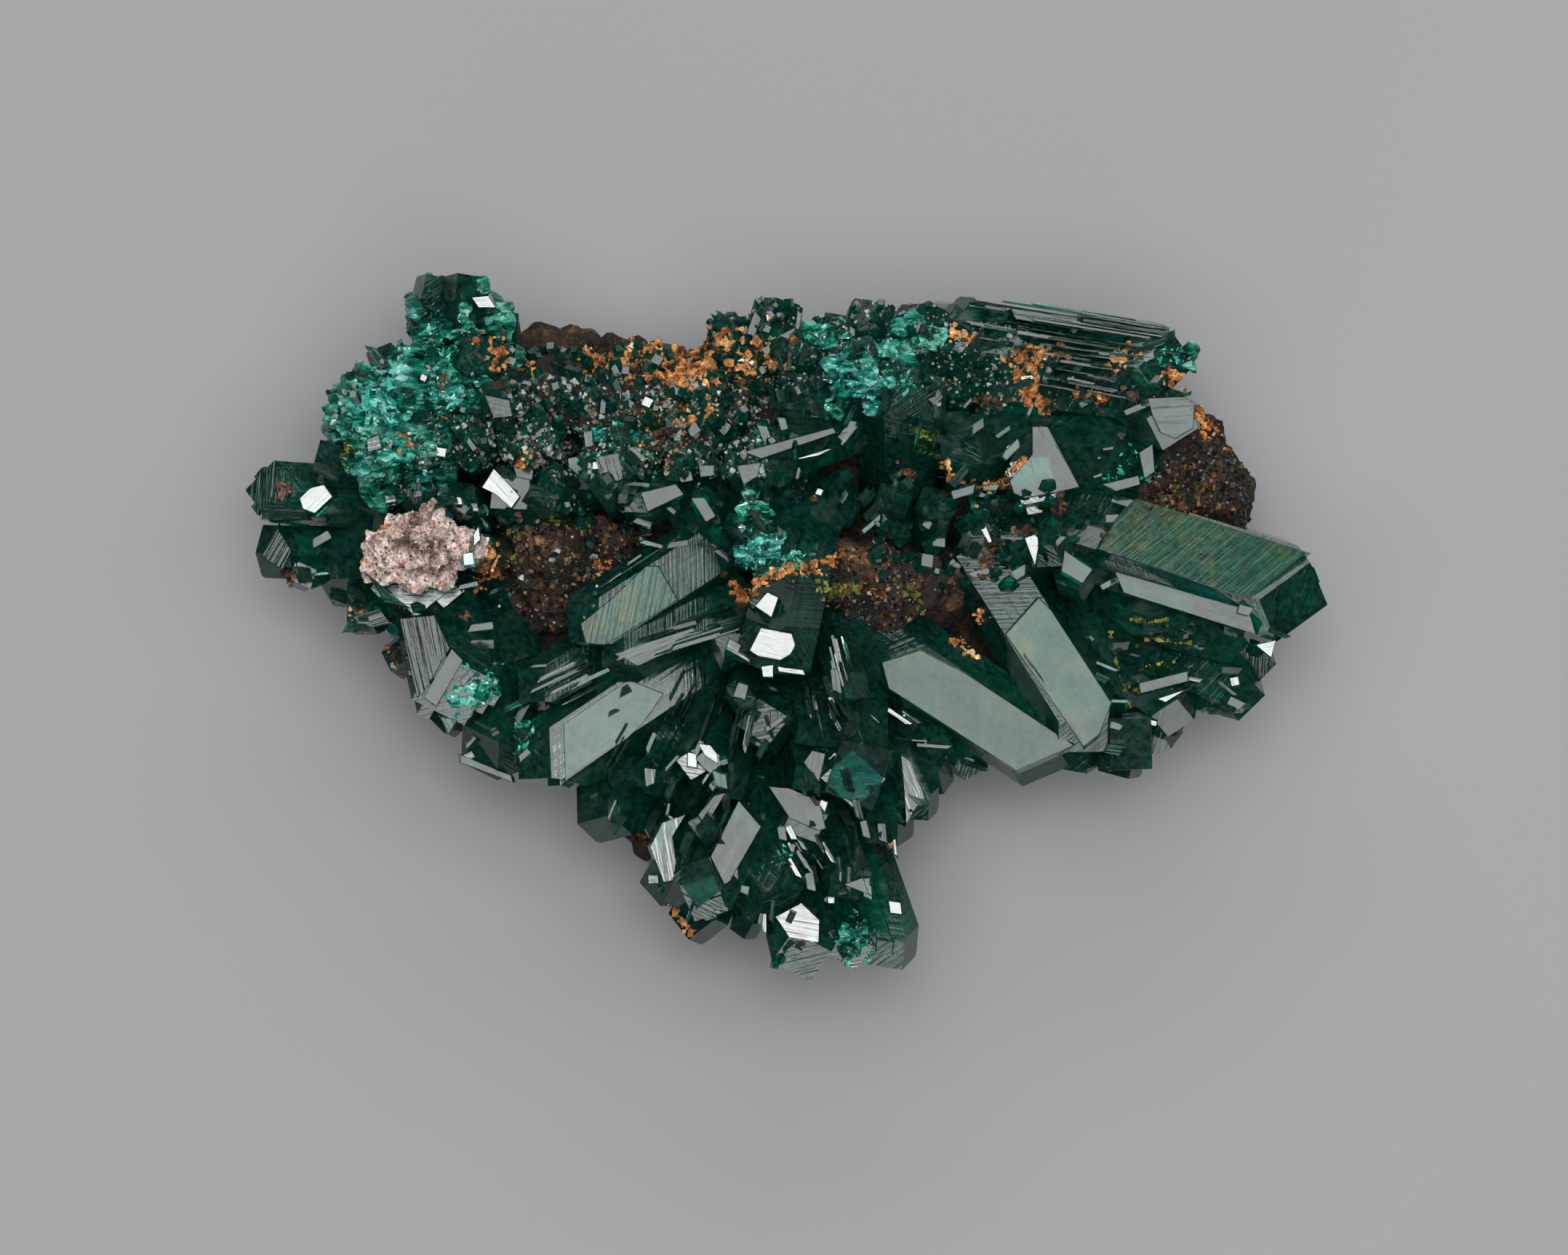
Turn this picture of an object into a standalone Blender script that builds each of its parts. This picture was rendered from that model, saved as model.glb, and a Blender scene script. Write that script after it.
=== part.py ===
# A dioptase specimen: sprays of hexagonal prisms on a brown rock, lying on its broken back.
# +X is the specimen's right, +Y its top and +Z its face. Sizes in the tables are millimetres.

import math

import bmesh
import bpy
from mathutils import Matrix, Vector, noise

MM = 0.001
CONTACT_GAP = 0.3  # between a crystal and what it grew on
CAP_TILT = math.radians(51)  # from the crystal's axis to the normal of an end face
SIDES = 6
WELD = 0.008  # points closer than this are one point

# The rock is a heap of rounded lumps: centre, half sizes.
ROCK_LUMPS = (
    ((-15.5, 6.5, 3.0), (9.0, 8.0, 6.5)),
    ((-5.0, 8.0, 3.0), (11.0, 7.5, 7.5)),
    ((-6.5, 12.6, 5.5), (8.0, 3.8, 9.0)),
    ((-13.6, 13.4, 6.0), (3.4, 3.7, 7.5)),
    ((4.0, 4.5, 3.5), (12.0, 9.5, 7.5)),
    ((14.5, 5.5, 3.5), (11.0, 9.0, 6.5)),
    ((22.1, 8.0, 6.5), (4.6, 4.2, 7.6)),
    ((-20.5, 9.8, 5.0), (5.0, 4.4, 6.0)),
    ((4.0, 12.5, 5.0), (6.0, 4.3, 6.8)),
    ((-5.0, -8.0, 3.2), (6.0, 5.5, 5.0)),
    ((5.3, 2.2, 11.0), (4.6, 2.8, 5.0)),
    ((-12.5, 3.6, 8.5), (4.8, 3.8, 5.2)),
    ((15.0, -1.5, 3.5), (8.0, 4.0, 6.0)),
    ((-12.0, -1.5, 3.5), (8.0, 5.5, 6.0)),
    ((-1.0, -4.5, 3.5), (9.0, 6.0, 6.0)),
    ((0.2, -11.0, 4.0), (5.6, 6.2, 5.0)),
)
ROCK_SHAKE = 1.9
ROCK_GRAIN = 3.5

# A crystal is: foot, tip, thickness across its flats, turn about its axis in degrees, and what is
# added to the width of the face that looks up. At turn 0 one side face looks straight up.
LEFT_CLUSTER = (
    # the crystals of the left rim
    ((-23.0, 7.3, 9.5), (-31.0, 7.8, 13.0), 3.4, -30, 0.2),
    ((-24.5, 4.4, 8.5), (-30.4, 4.2, 13.0), 2.8, 25, 0.3),
    ((-25.0, 4.0, 9.5), (-28.2, 2.6, 14.5), 1.7, -30, 0.0),
    ((-20.5, 5.2, 7.5), (-26.8, 2.6, 12.5), 4.2, 10, 0.4),
    ((-20.8, 7.5, 8.0), (-21.1, 0.5, 14.5), 4.6, -30, 1.2),
    ((-20.5, 2.4, 8.0), (-25.2, 0.1, 12.0), 2.0, 0, 0.3),
    ((-19.5, 0.8, 8.0), (-22.7, -2.6, 11.5), 1.9, 15, 0.2),
    ((-23.0, 9.0, 10.0), (-26.9, 9.4, 15.0), 2.2, 20, 0.2),
    # the two large prisms of the lower left
    ((-20.6, 3.6, 9.0), (-18.3, -5.7, 15.5), 4.6, -26, 0.4),
    ((-16.2, 3.0, 7.5), (-16.5, -8.9, 12.5), 4.0, 28, 0.3),
    ((-18.0, -1.5, 7.5), (-19.6, -6.2, 11.5), 2.0, 0, 0.3),
    # the etched dome
    ((-19.5, 10.5, 7.0), (-23.4, 13.0, 18.5), 5.2, 5, 0.4),
    ((-18.5, 11.0, 7.0), (-19.8, 14.6, 18.0), 4.8, 20, 0.3),
    ((-19.5, 8.8, 7.0), (-22.6, 9.6, 18.5), 4.8, 0, 0.4),
    ((-20.5, 11.0, 7.0), (-25.9, 12.2, 14.0), 4.4, 10, 0.4),
    ((-20.5, 9.5, 7.0), (-26.4, 10.6, 11.5), 4.0, 18, 0.4),
    ((-20.5, 12.8, 8.0), (-23.6, 15.9, 13.0), 1.5, 0, 0.2),
    ((-18.8, 13.0, 8.5), (-20.5, 20.2, 14.0), 2.2, 0, 0.1),
    ((-17.3, 13.0, 9.0), (-18.7, 20.2, 15.0), 2.2, 12, 0.2),
    ((-16.0, 12.5, 9.0), (-16.6, 18.2, 13.5), 2.2, 20, 0.2),
    ((-16.8, 10.5, 8.0), (-17.3, 16.2, 17.0), 2.8, 0, 0.3),
    # small crystals between the dome and the middle
    ((-16.1, 8.7, 8.0), (-18.6, 11.2, 18.0), 2.6, 0, 0.4),
    ((-14.0, 9.0, 8.0), (-15.0, 11.2, 18.0), 2.8, 15, 0.4),
    ((-14.5, 9.8, 9.0), (-16.4, 13.4, 19.5), 2.0, 0, 0.3),
    ((-13.0, 4.8, 10.5), (-16.6, 8.6, 15.5), 2.8, -34, 0.3),
    ((-11.0, 7.8, 10.0), (-14.4, 7.4, 16.5), 2.2, -20, 0.4),
    ((-18.0, 7.0, 9.0), (-21.8, 7.8, 15.5), 2.2, -25, 0.3),
    ((-17.0, 5.4, 9.0), (-18.8, 7.4, 17.5), 1.9, 0, 0.3),
    ((-16.0, 4.0, 9.0), (-17.6, 4.2, 17.0), 1.9, 12, 0.3),
)

CENTER_SPRAY = (
    # the fan that opens to the lower left
    ((-3.4, 4.9, 12.5), (-12.3, -0.9, 16.0), 3.0, -6, 0.9),
    ((-2.2, 1.6, 12.0), (-10.4, -2.4, 16.5), 2.2, 14, 0.7),
    ((-6.0, 1.4, 10.5), (-15.2, -4.4, 14.5), 2.6, 0, 0.5),
    ((-4.0, -1.4, 12.0), (-15.2, -8.8, 15.0), 3.6, 2, 0.8),
    ((-3.8, -0.2, 10.0), (-11.8, -4.6, 14.5), 2.4, 20, 0.4),
    # the crystals that point at the viewer
    ((1.2, 6.0, 13.5), (-0.7, -2.7, 21.5), 3.8, -28, 0.5),
    ((0.4, 4.0, 12.5), (-1.5, 0.3, 20.5), 1.8, -30, 0.1),
    ((-1.4, 1.6, 12.0), (-3.4, -1.8, 20.0), 1.9, -20, 0.2),
    ((-1.6, -0.5, 11.0), (-2.6, -4.5, 19.0), 1.6, -30, 0.2),
    ((2.0, 1.4, 12.0), (3.9, -4.2, 19.5), 1.9, 20, 0.4),
    ((1.6, 0.2, 11.0), (3.3, -7.0, 18.0), 1.9, 8, 0.6),
    ((0.4, -0.6, 11.0), (1.8, -6.9, 17.5), 1.5, 0, 0.5),
    ((-1.2, -0.8, 10.0), (-0.9, -6.8, 17.5), 2.9, -20, 0.3),
    # the crystals that hang below the focus
    ((-3.8, -1.0, 10.0), (-5.3, -8.8, 17.0), 1.9, -30, 0.2),
    ((-3.2, -1.0, 10.0), (-4.2, -8.4, 18.0), 1.6, -22, 0.2),
    ((-4.2, -1.8, 9.5), (-7.9, -9.6, 15.5), 2.2, 5, 0.4),
    ((-2.4, -2.0, 9.5), (-3.3, -9.9, 16.5), 1.9, 20, 0.3),
    ((-4.6, -2.6, 8.5), (-9.8, -9.4, 13.5), 2.6, 12, 0.3),
    ((0.0, -2.5, 9.5), (1.9, -9.5, 17.5), 2.0, 0, 0.4),
    ((4.2, -0.2, 9.5), (4.0, -10.4, 17.5), 3.6, -28, 0.2),
    ((-0.4, -4.5, 8.5), (1.8, -12.4, 15.0), 2.6, -18, 0.4),
    ((3.6, -3.6, 8.0), (6.5, -12.7, 13.5), 2.7, 10, 0.3),
    ((4.8, -3.2, 9.0), (8.3, -11.2, 13.5), 1.8, 5, 0.6),
    ((5.2, -2.8, 8.5), (9.2, -9.7, 12.0), 2.2, 15, 0.2),
    ((4.2, -3.8, 9.0), (9.8, -7.2, 13.0), 1.8, 0, 0.4),
    ((5.2, -4.2, 8.0), (11.8, -8.2, 10.5), 2.0, 10, 0.4),
    # the crystals above the focus
    ((-6.8, 13.0, 8.0), (-10.6, 7.2, 16.5), 3.6, 5, 0.7),
    ((-3.4, 9.0, 10.0), (-9.1, 6.5, 16.0), 2.0, 0, 0.4),
    ((-3.4, 9.8, 9.5), (-6.6, 9.4, 15.5), 1.9, 15, 0.3),
    ((5.0, 11.9, 12.5), (-3.4, 8.6, 17.5), 2.4, 20, 0.7),
    ((-1.2, 10.0, 9.0), (-1.9, 4.9, 17.5), 2.4, 0, 0.4),
    ((-0.2, 9.0, 11.0), (-0.8, 3.0, 17.5), 3.0, 6, 1.4),
    ((6.9, 6.0, 8.5), (6.7, 14.8, 18.0), 3.9, 10, 0.6),
    ((6.4, 4.2, 9.0), (6.2, 7.6, 17.5), 1.7, 0, 0.3),
    ((8.2, 3.8, 9.0), (8.8, 7.4, 17.0), 1.9, 12, 0.3),
    # the sugary crust of the top
    ((4.4, 11.0, 8.0), (4.2, 15.0, 19.0), 3.3, 10, 0.4),
    ((1.2, 11.0, 8.0), (0.7, 17.3, 14.5), 2.9, 0, 0.4),
    ((-1.2, 11.5, 8.0), (-0.4, 18.8, 14.5), 2.6, 20, 0.3),
    ((-2.8, 11.5, 8.0), (-3.0, 17.9, 13.5), 2.6, 6, 0.3),
    ((3.0, 12.0, 8.0), (2.9, 17.6, 14.5), 2.8, 15, 0.3),
    ((5.2, 12.0, 8.0), (4.9, 18.7, 14.0), 2.8, 0, 0.4),
    ((8.0, 12.0, 8.0), (8.0, 18.5, 13.5), 3.2, 12, 0.4),
    ((-4.4, 10.5, 8.0), (-5.0, 13.6, 16.0), 2.8, 0, 0.4),
    ((1.2, 9.5, 8.0), (1.0, 13.8, 17.5), 2.8, 8, 0.3),
    ((2.6, 6.8, 8.5), (2.8, 7.2, 16.0), 3.0, 0, 0.3),
    ((-4.6, 6.0, 8.5), (-4.8, 6.2, 15.5), 3.0, 0, 0.3),
)

RIGHT_PRISMS = (
    # the long striated prism of the top edge and its mate
    ((8.5, 16.6, 10.0), (23.6, 15.0, 14.0), 3.6, -24, 0.8),
    ((9.6, 14.6, 9.5), (21.6, 12.9, 14.5), 2.8, 5, 0.8),
    ((9.8, 12.5, 8.0), (10.9, 18.9, 12.5), 2.6, 0, 0.4),
    ((16.6, 13.6, 9.5), (23.7, 11.3, 15.5), 3.0, -26, 0.6),
    # the prisms that lie below it
    ((9.6, 10.0, 10.0), (21.9, 9.5, 14.5), 3.8, 24, 0.7),
    ((17.0, 12.4, 9.5), (13.6, 6.9, 15.8), 3.2, -30, 0.6),
    ((10.8, 6.6, 9.5), (20.6, 6.7, 13.5), 2.4, 0, 0.4),
    ((13.4, 10.2, 9.5), (9.2, 9.0, 15.5), 3.2, 20, 0.4),
    # the largest prism
    ((13.6, 6.7, 10.5), (31.2, 1.2, 14.0), 4.2, -25, 1.6),
    ((14.6, 4.4, 9.5), (27.6, 0.3, 12.4), 2.2, -25, 0.6),
    # the small crystals of the middle right
    ((10.2, 3.6, 9.0), (11.4, 6.0, 16.5), 1.8, 0, 0.3),
    ((12.4, 2.8, 9.5), (13.9, 5.6, 16.5), 1.9, -28, 0.3),
    ((14.8, 3.6, 9.0), (15.3, 4.6, 18.0), 2.2, 0, 0.3),
    ((16.0, 5.2, 9.5), (16.8, 2.0, 16.5), 1.9, -25, 0.3),
    # the two broad prisms that point to the lower right
    ((3.6, 0.6, 12.5), (16.4, -8.1, 13.0), 3.3, 15, 1.3),
    ((11.4, 4.4, 11.5), (18.5, -7.2, 15.5), 3.1, 0, 1.2),
    ((11.0, 2.6, 10.5), (16.4, -6.4, 14.5), 1.8, 0, 0.6),
    ((15.4, -1.0, 9.0), (17.4, -8.5, 13.5), 1.8, 10, 0.4),
    ((15.2, 3.8, 8.5), (19.8, -6.0, 13.0), 4.0, 14, 0.6),
    # the dark crystals of the lower right end
    ((17.5, 0.6, 8.0), (28.4, -2.2, 11.5), 3.8, 10, 0.6),
    ((17.0, -1.0, 8.0), (27.7, -4.0, 12.5), 2.8, 0, 0.4),
    ((16.5, -1.0, 8.5), (23.6, -5.4, 13.0), 2.6, 12, 0.3),
    ((18.0, 2.2, 10.0), (25.2, -0.4, 14.5), 2.8, 0, 0.5),
    ((18.4, -1.8, 8.0), (19.8, -8.8, 13.5), 2.4, 0, 0.4),
    ((18.5, -2.4, 8.0), (22.3, -7.1, 12.0), 2.6, 20, 0.3),
)

TAIL_CLUSTER = (
    ((-4.6, -8.0, 8.5), (-11.9, -11.4, 12.5), 3.2, 20, 0.4),
    ((-3.6, -8.4, 9.5), (-7.1, -16.1, 13.5), 2.8, 24, 0.4),
    ((-0.8, -7.9, 10.0), (-5.1, -16.9, 16.0), 3.0, -28, 0.3),
    ((-2.6, -9.0, 10.0), (-4.8, -12.1, 17.0), 1.6, 0, 0.3),
    ((-4.0, -11.0, 8.0), (-7.5, -15.7, 12.0), 1.8, 8, 0.3),
    ((-2.6, -12.0, 6.5), (-5.5, -18.1, 11.5), 2.6, 0, 0.4),
    ((-1.0, -12.0, 7.0), (-2.3, -18.1, 11.0), 1.5, 12, 0.2),
    ((2.4, -8.6, 10.0), (-2.1, -16.8, 14.5), 3.4, 24, 0.4),
    ((-0.6, -11.5, 8.0), (1.5, -20.5, 13.5), 3.2, -30, 0.6),
    ((2.6, -11.5, 7.5), (4.1, -19.8, 13.0), 2.5, -30, 0.2),
    ((3.2, -9.6, 8.5), (6.8, -19.8, 13.0), 2.8, 6, 0.3),
    ((2.2, -10.4, 9.5), (4.0, -15.6, 15.5), 2.1, 0, 0.3),
    ((2.6, -9.0, 6.0), (6.0, -13.5, 9.5), 2.4, 10, 0.2),
)

# Crystals lower down the sides, which show from beside the specimen: foot, tip, thickness.
LOWER_LEFT_RIM = (
    ((-17.0, 6.0, 3.5), (-28.0, 5.8, 6.5), 4.2),
    ((-16.0, 8.0, 3.5), (-25.5, 10.5, 6.0), 4.0),
    ((-11.0, 9.0, 4.0), (-13.5, 15.8, 8.5), 3.4),
)
LOWER_CENTER_RIM = (
    ((4.0, -3.0, 4.0), (9.0, -8.4, 7.5), 3.8),
    ((2.0, 9.0, 4.5), (2.5, 17.2, 8.0), 4.4),
)
LOWER_RIGHT_RIM = (
    ((12.0, 9.0, 4.0), (18.5, 16.2, 8.0), 4.4),
    ((16.0, 4.0, 4.0), (27.6, 2.4, 7.0), 4.6),
    ((14.0, 0.0, 3.5), (24.5, -4.2, 6.5), 4.2),
)
LOWER_TAIL_RIM = (
    ((-1.0, -9.0, 3.5), (-7.4, -13.0, 6.5), 3.6),
    ((1.0, -9.0, 3.5), (1.4, -18.2, 6.5), 3.8),
)

# The granular lump at the left: centre, half sizes.
LUMP = (
    ((-22.2, 4.2, 16.6), (1.9, 1.8, 1.9)),
    ((-20.2, 4.8, 17.0), (2.1, 1.9, 2.2)),
    ((-18.8, 4.6, 16.4), (1.3, 1.4, 1.7)),
    ((-20.8, 3.4, 16.2), (2.2, 1.2, 1.6)),
)
LUMP_SHAKE = 0.45
LUMP_GRAIN = 1.0


def across(axis):
    """The direction square to an axis that looks up as far as it can."""
    up = Vector((0, 0, 1))
    if abs(axis.dot(up)) > 0.98:
        up = Vector((0, 1, 0))
    return (up - axis * axis.dot(up)).normalized()


def add_prism(bm, foot, tip, thickness, turn, widen, grow=0.0):
    """A six-sided prism with three faces at its end, put into bm. Millimetres."""
    foot, tip = Vector(foot), Vector(tip)
    axis = (tip - foot).normalized()
    peak = (tip - foot).length + grow / math.cos(CAP_TILT)
    uncut = peak + grow + thickness + widen
    corner = (thickness / 2 + grow) / math.cos(math.pi / SIDES)
    crystal = bmesh.new()
    bmesh.ops.create_cone(
        crystal,
        segments=SIDES,
        radius1=corner,
        radius2=corner,
        depth=uncut,
        cap_ends=True,
    )
    for side in (-1, 1):
        half = [vert for vert in crystal.verts if vert.co.y * side > 0]
        bmesh.ops.translate(crystal, verts=half, vec=(0, side * widen / 2, 0))
    bmesh.ops.translate(crystal, verts=crystal.verts, vec=(0, 0, uncut / 2 - grow))
    for third in range(3):
        around = math.radians(30 + 120 * third)
        outward = Vector((math.cos(around), math.sin(around), 0))
        normal = outward * math.sin(CAP_TILT) + Vector((0, 0, math.cos(CAP_TILT)))
        cut = bmesh.ops.bisect_plane(
            crystal,
            geom=crystal.verts[:] + crystal.edges[:] + crystal.faces[:],
            plane_co=(0, 0, peak),
            plane_no=normal,
            clear_outer=True,
        )
        rim = [item for item in cut["geom_cut"] if isinstance(item, bmesh.types.BMEdge)]
        bmesh.ops.contextual_create(crystal, geom=rim)
    bmesh.ops.remove_doubles(crystal, verts=crystal.verts, dist=WELD)
    upward = Matrix.Rotation(math.radians(turn), 3, axis) @ across(axis)
    frame = Matrix((upward, axis.cross(upward), axis)).transposed().to_4x4()
    crystal.transform(Matrix.Translation(foot) @ frame)
    pour(crystal, bm)


def pour(source, bm):
    """Copy one bmesh into another and free it."""
    mesh = bpy.data.meshes.new("poured")
    source.normal_update()
    bmesh.ops.recalc_face_normals(source, faces=source.faces)
    source.to_mesh(mesh)
    source.free()
    bm.from_mesh(mesh)
    bpy.data.meshes.remove(mesh)


def add_lump(bm, centre, half, shake, grain, rings, grow=0.0):
    """A rounded stone with an uneven skin, put into bm."""
    stone = bmesh.new()
    bmesh.ops.create_icosphere(stone, subdivisions=rings, radius=1)
    for vert in stone.verts:
        out = vert.co.normalized()
        place = Vector(centre) + Vector([out[i] * half[i] for i in range(3)])
        uneven = shake * noise.fractal(place / grain, 1.0, 2.0, 3)
        vert.co = place + out * (uneven + grow)
    pour(stone, bm)


def new_object(name, bm):
    mesh = bpy.data.meshes.new(name)
    bm.transform(Matrix.Scale(MM, 4))
    bm.to_mesh(mesh)
    bm.free()
    shape = bpy.data.objects.new(name, mesh)
    bpy.context.collection.objects.link(shape)
    return shape


def prism_objects(name, rows, grow=0.0):
    """One object for each crystal."""
    made = []
    for foot, tip, thickness, turn, widen in rows:
        bm = bmesh.new()
        add_prism(bm, foot, tip, thickness, turn, widen, grow)
        made.append(new_object(name, bm))
    return made


def lump_objects(name, lumps, shake, grain, rings):
    """One object for each lump."""
    made = []
    for centre, half in lumps:
        bm = bmesh.new()
        add_lump(bm, centre, half, shake, grain, rings)
        made.append(new_object(name, bm))
    return made


def lower_rows(rim):
    """The rows of a lower rim, with a different turn for each crystal."""
    return tuple((foot, tip, size, 17 * i % 40, 0.3) for i, (foot, tip, size) in enumerate(rim))


def combine(shape, others, operation):
    """Run one exact Boolean on a shape with several others, keep the result and drop the others."""
    group = bpy.data.collections.new("group")
    bpy.context.scene.collection.children.link(group)
    for other in others:
        group.objects.link(other)
    step = shape.modifiers.new("step", "BOOLEAN")
    step.operation = operation
    step.solver = "EXACT"
    step.operand_type = "COLLECTION"
    step.collection = group
    scene_state = bpy.context.evaluated_depsgraph_get()
    result = bpy.data.meshes.new_from_object(shape.evaluated_get(scene_state))
    shape.modifiers.clear()
    shape.data = result
    for other in others:
        bpy.data.objects.remove(other)
    bpy.data.collections.remove(group)


def drop_small_parts(bm):
    """Keep the largest connected body of a mesh."""
    unseen = set(bm.verts)
    bodies = []
    while unseen:
        body = []
        front = [unseen.pop()]
        while front:
            vert = front.pop()
            body.append(vert)
            for edge in vert.link_edges:
                near = edge.other_vert(vert)
                if near in unseen:
                    unseen.remove(near)
                    front.append(near)
        bodies.append(body)
    bodies.sort(key=len, reverse=True)
    loose = [vert for body in bodies[1:] for vert in body]
    bmesh.ops.delete(bm, geom=loose, context="VERTS")


def clean(shape):
    """Join points that a Boolean left on top of each other, keep one body, and leave triangles."""
    bm = bmesh.new()
    bm.from_mesh(shape.data)
    bmesh.ops.remove_doubles(bm, verts=bm.verts, dist=WELD * MM)
    bmesh.ops.dissolve_degenerate(bm, edges=bm.edges, dist=WELD / 2 * MM)
    drop_small_parts(bm)
    bmesh.ops.triangulate(bm, faces=bm.faces)
    bm.to_mesh(shape.data)
    bm.free()


def finish(shape, colour, roughness, metallic=0.0):
    material = bpy.data.materials.new(shape.name)
    material.use_nodes = True
    shader = material.node_tree.nodes["Principled BSDF"]
    shader.inputs["Base Color"].default_value = (*colour, 1)
    shader.inputs["Roughness"].default_value = roughness
    shader.inputs["Metallic"].default_value = metallic
    shape.data.materials.clear()
    shape.data.materials.append(material)


def crystal_cluster(name, rows, earlier):
    """One solid from crystals that grew into each other, clear of the clusters made before it."""
    cluster, *others = prism_objects(name, rows)
    combine(cluster, others, "UNION")
    if earlier:
        combine(cluster, prism_objects("neighbour", earlier, CONTACT_GAP), "DIFFERENCE")
    clean(cluster)
    finish(cluster, (0.004, 0.09, 0.06), 0.08)
    cluster.name = name


def rock(all_rows):
    """The rock, flat below, with a socket for each crystal that stands in it."""
    body, *others = lump_objects("matrix_rock", ROCK_LUMPS, ROCK_SHAKE, ROCK_GRAIN, 2)
    combine(body, others, "UNION")
    under = bmesh.new()
    bmesh.ops.create_cube(under, size=1)
    bmesh.ops.scale(under, vec=(90, 70, 30), verts=under.verts)
    bmesh.ops.translate(under, verts=under.verts, vec=(0, 0, -15))
    combine(body, [new_object("under", under)], "DIFFERENCE")
    combine(body, prism_objects("socket", all_rows, CONTACT_GAP), "DIFFERENCE")
    clean(body)
    finish(body, (0.13, 0.065, 0.03), 0.9)
    body.name = "matrix_rock"


def granular_lump(all_rows):
    body, *others = lump_objects("granular_lump", LUMP, LUMP_SHAKE, LUMP_GRAIN, 2)
    combine(body, others, "UNION")
    combine(body, prism_objects("seat", all_rows, CONTACT_GAP), "DIFFERENCE")
    clean(body)
    finish(body, (0.36, 0.22, 0.18), 0.9)
    body.name = "granular_lump"


def main():
    for old in list(bpy.data.objects):
        bpy.data.objects.remove(old)
    clusters = (
        ("dioptase_center_spray", CENTER_SPRAY + lower_rows(LOWER_CENTER_RIM)),
        ("dioptase_right_prisms", RIGHT_PRISMS + lower_rows(LOWER_RIGHT_RIM)),
        ("dioptase_left_cluster", LEFT_CLUSTER + lower_rows(LOWER_LEFT_RIM)),
        ("dioptase_tail_cluster", TAIL_CLUSTER + lower_rows(LOWER_TAIL_RIM)),
    )
    made = ()
    for name, rows in clusters:
        crystal_cluster(name, rows, made)
        made += rows
    rock(made)
    granular_lump(made)


main()
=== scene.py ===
import math
import random

import bmesh
import bpy
from mathutils import Matrix, Vector, noise
from mathutils.bvhtree import BVHTree


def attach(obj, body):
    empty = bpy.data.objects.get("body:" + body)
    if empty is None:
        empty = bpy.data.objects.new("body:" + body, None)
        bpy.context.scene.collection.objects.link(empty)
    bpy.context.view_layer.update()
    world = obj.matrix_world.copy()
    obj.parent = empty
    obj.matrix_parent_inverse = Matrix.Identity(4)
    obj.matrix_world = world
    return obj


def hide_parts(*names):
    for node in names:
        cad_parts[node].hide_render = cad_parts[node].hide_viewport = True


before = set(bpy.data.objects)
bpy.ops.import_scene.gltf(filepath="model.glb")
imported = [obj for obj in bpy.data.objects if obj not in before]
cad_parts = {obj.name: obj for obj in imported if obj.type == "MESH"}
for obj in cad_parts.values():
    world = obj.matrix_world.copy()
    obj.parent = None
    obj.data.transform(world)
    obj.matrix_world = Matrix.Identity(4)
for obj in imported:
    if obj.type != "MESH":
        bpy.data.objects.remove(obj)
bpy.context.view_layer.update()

# Crystals of the left end
# Dioptase: hexagonal prisms closed by three faces, with ledges where growth stopped early.
# Each row is foot and tip in millimetres, thickness, turn about the axis, and extra width of the
# face that looks up, as the solids have it. Each crystal is a union of parallel prisms.
LEFT_CRYSTALS = (
    ((-23, 7.3, 9.5), (-31, 7.8, 13), 3.4, -30, 0.2),
    ((-24.5, 4.4, 8.5), (-30.4, 4.2, 13), 2.8, 25, 0.3),
    ((-25, 4, 9.5), (-28.2, 2.6, 14.5), 1.7, -30, 0),
    ((-20.5, 5.2, 7.5), (-26.8, 2.6, 12.5), 4.2, 10, 0.4),
    ((-20.8, 7.5, 8), (-21.1, 0.5, 14.5), 4.6, -30, 1.2),
    ((-20.5, 2.4, 8), (-25.2, 0.1, 12), 2, 0, 0.3),
    ((-19.5, 0.8, 8), (-22.7, -2.6, 11.5), 1.9, 15, 0.2),
    ((-23, 9, 10), (-26.9, 9.4, 15), 2.2, 20, 0.2),
    ((-20.6, 3.6, 9), (-18.3, -5.7, 15.5), 4.6, -26, 0.4),
    ((-16.2, 3, 7.5), (-16.5, -8.9, 12.5), 4, 28, 0.3),
    ((-18, -1.5, 7.5), (-19.6, -6.2, 11.5), 2, 0, 0.3),
    ((-20.5, 9.5, 7), (-26.4, 10.6, 11.5), 4, 18, 0.4),
    ((-20.5, 12.8, 8), (-23.6, 15.9, 13), 1.5, 0, 0.2),
    ((-18.8, 13, 8.5), (-20.5, 20.2, 14), 2.2, 0, 0.1),
    ((-17.3, 13, 9), (-18.7, 20.2, 15), 2.2, 12, 0.2),
    ((-16, 12.5, 9), (-16.6, 18.2, 13.5), 2.2, 20, 0.2),
    ((-16.8, 10.5, 8), (-17.3, 16.2, 17), 2.8, 0, 0.3),
    ((-16.1, 8.7, 8), (-18.6, 11.2, 18), 2.6, 0, 0.4),
    ((-14, 9, 8), (-15, 11.2, 18), 2.8, 15, 0.4),
    ((-14.5, 9.8, 9), (-16.4, 13.4, 19.5), 2, 0, 0.3),
    ((-13, 4.8, 10.5), (-16.6, 8.6, 15.5), 2.8, -34, 0.3),
    ((-11, 7.8, 10), (-14.4, 7.4, 16.5), 2.2, -20, 0.4),
    ((-18, 7, 9), (-21.8, 7.8, 15.5), 2.2, -25, 0.3),
    ((-17, 5.4, 9), (-18.8, 7.4, 17.5), 1.9, 0, 0.3),
    ((-16, 4, 9), (-17.6, 4.2, 17), 1.9, 12, 0.3),
    ((-17, 6, 3.5), (-28, 5.8, 6.5), 4.2, 0, 0.3),
    ((-16, 8, 3.5), (-25.5, 10.5, 6), 4, 17, 0.3),
    ((-11, 9, 4), (-13.5, 15.8, 8.5), 3.4, 34, 0.3),
)
MM = 0.001
SIDES = 6
CAP_TILT = math.radians(51)  # from the crystal's axis to the normal of an end face
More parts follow.
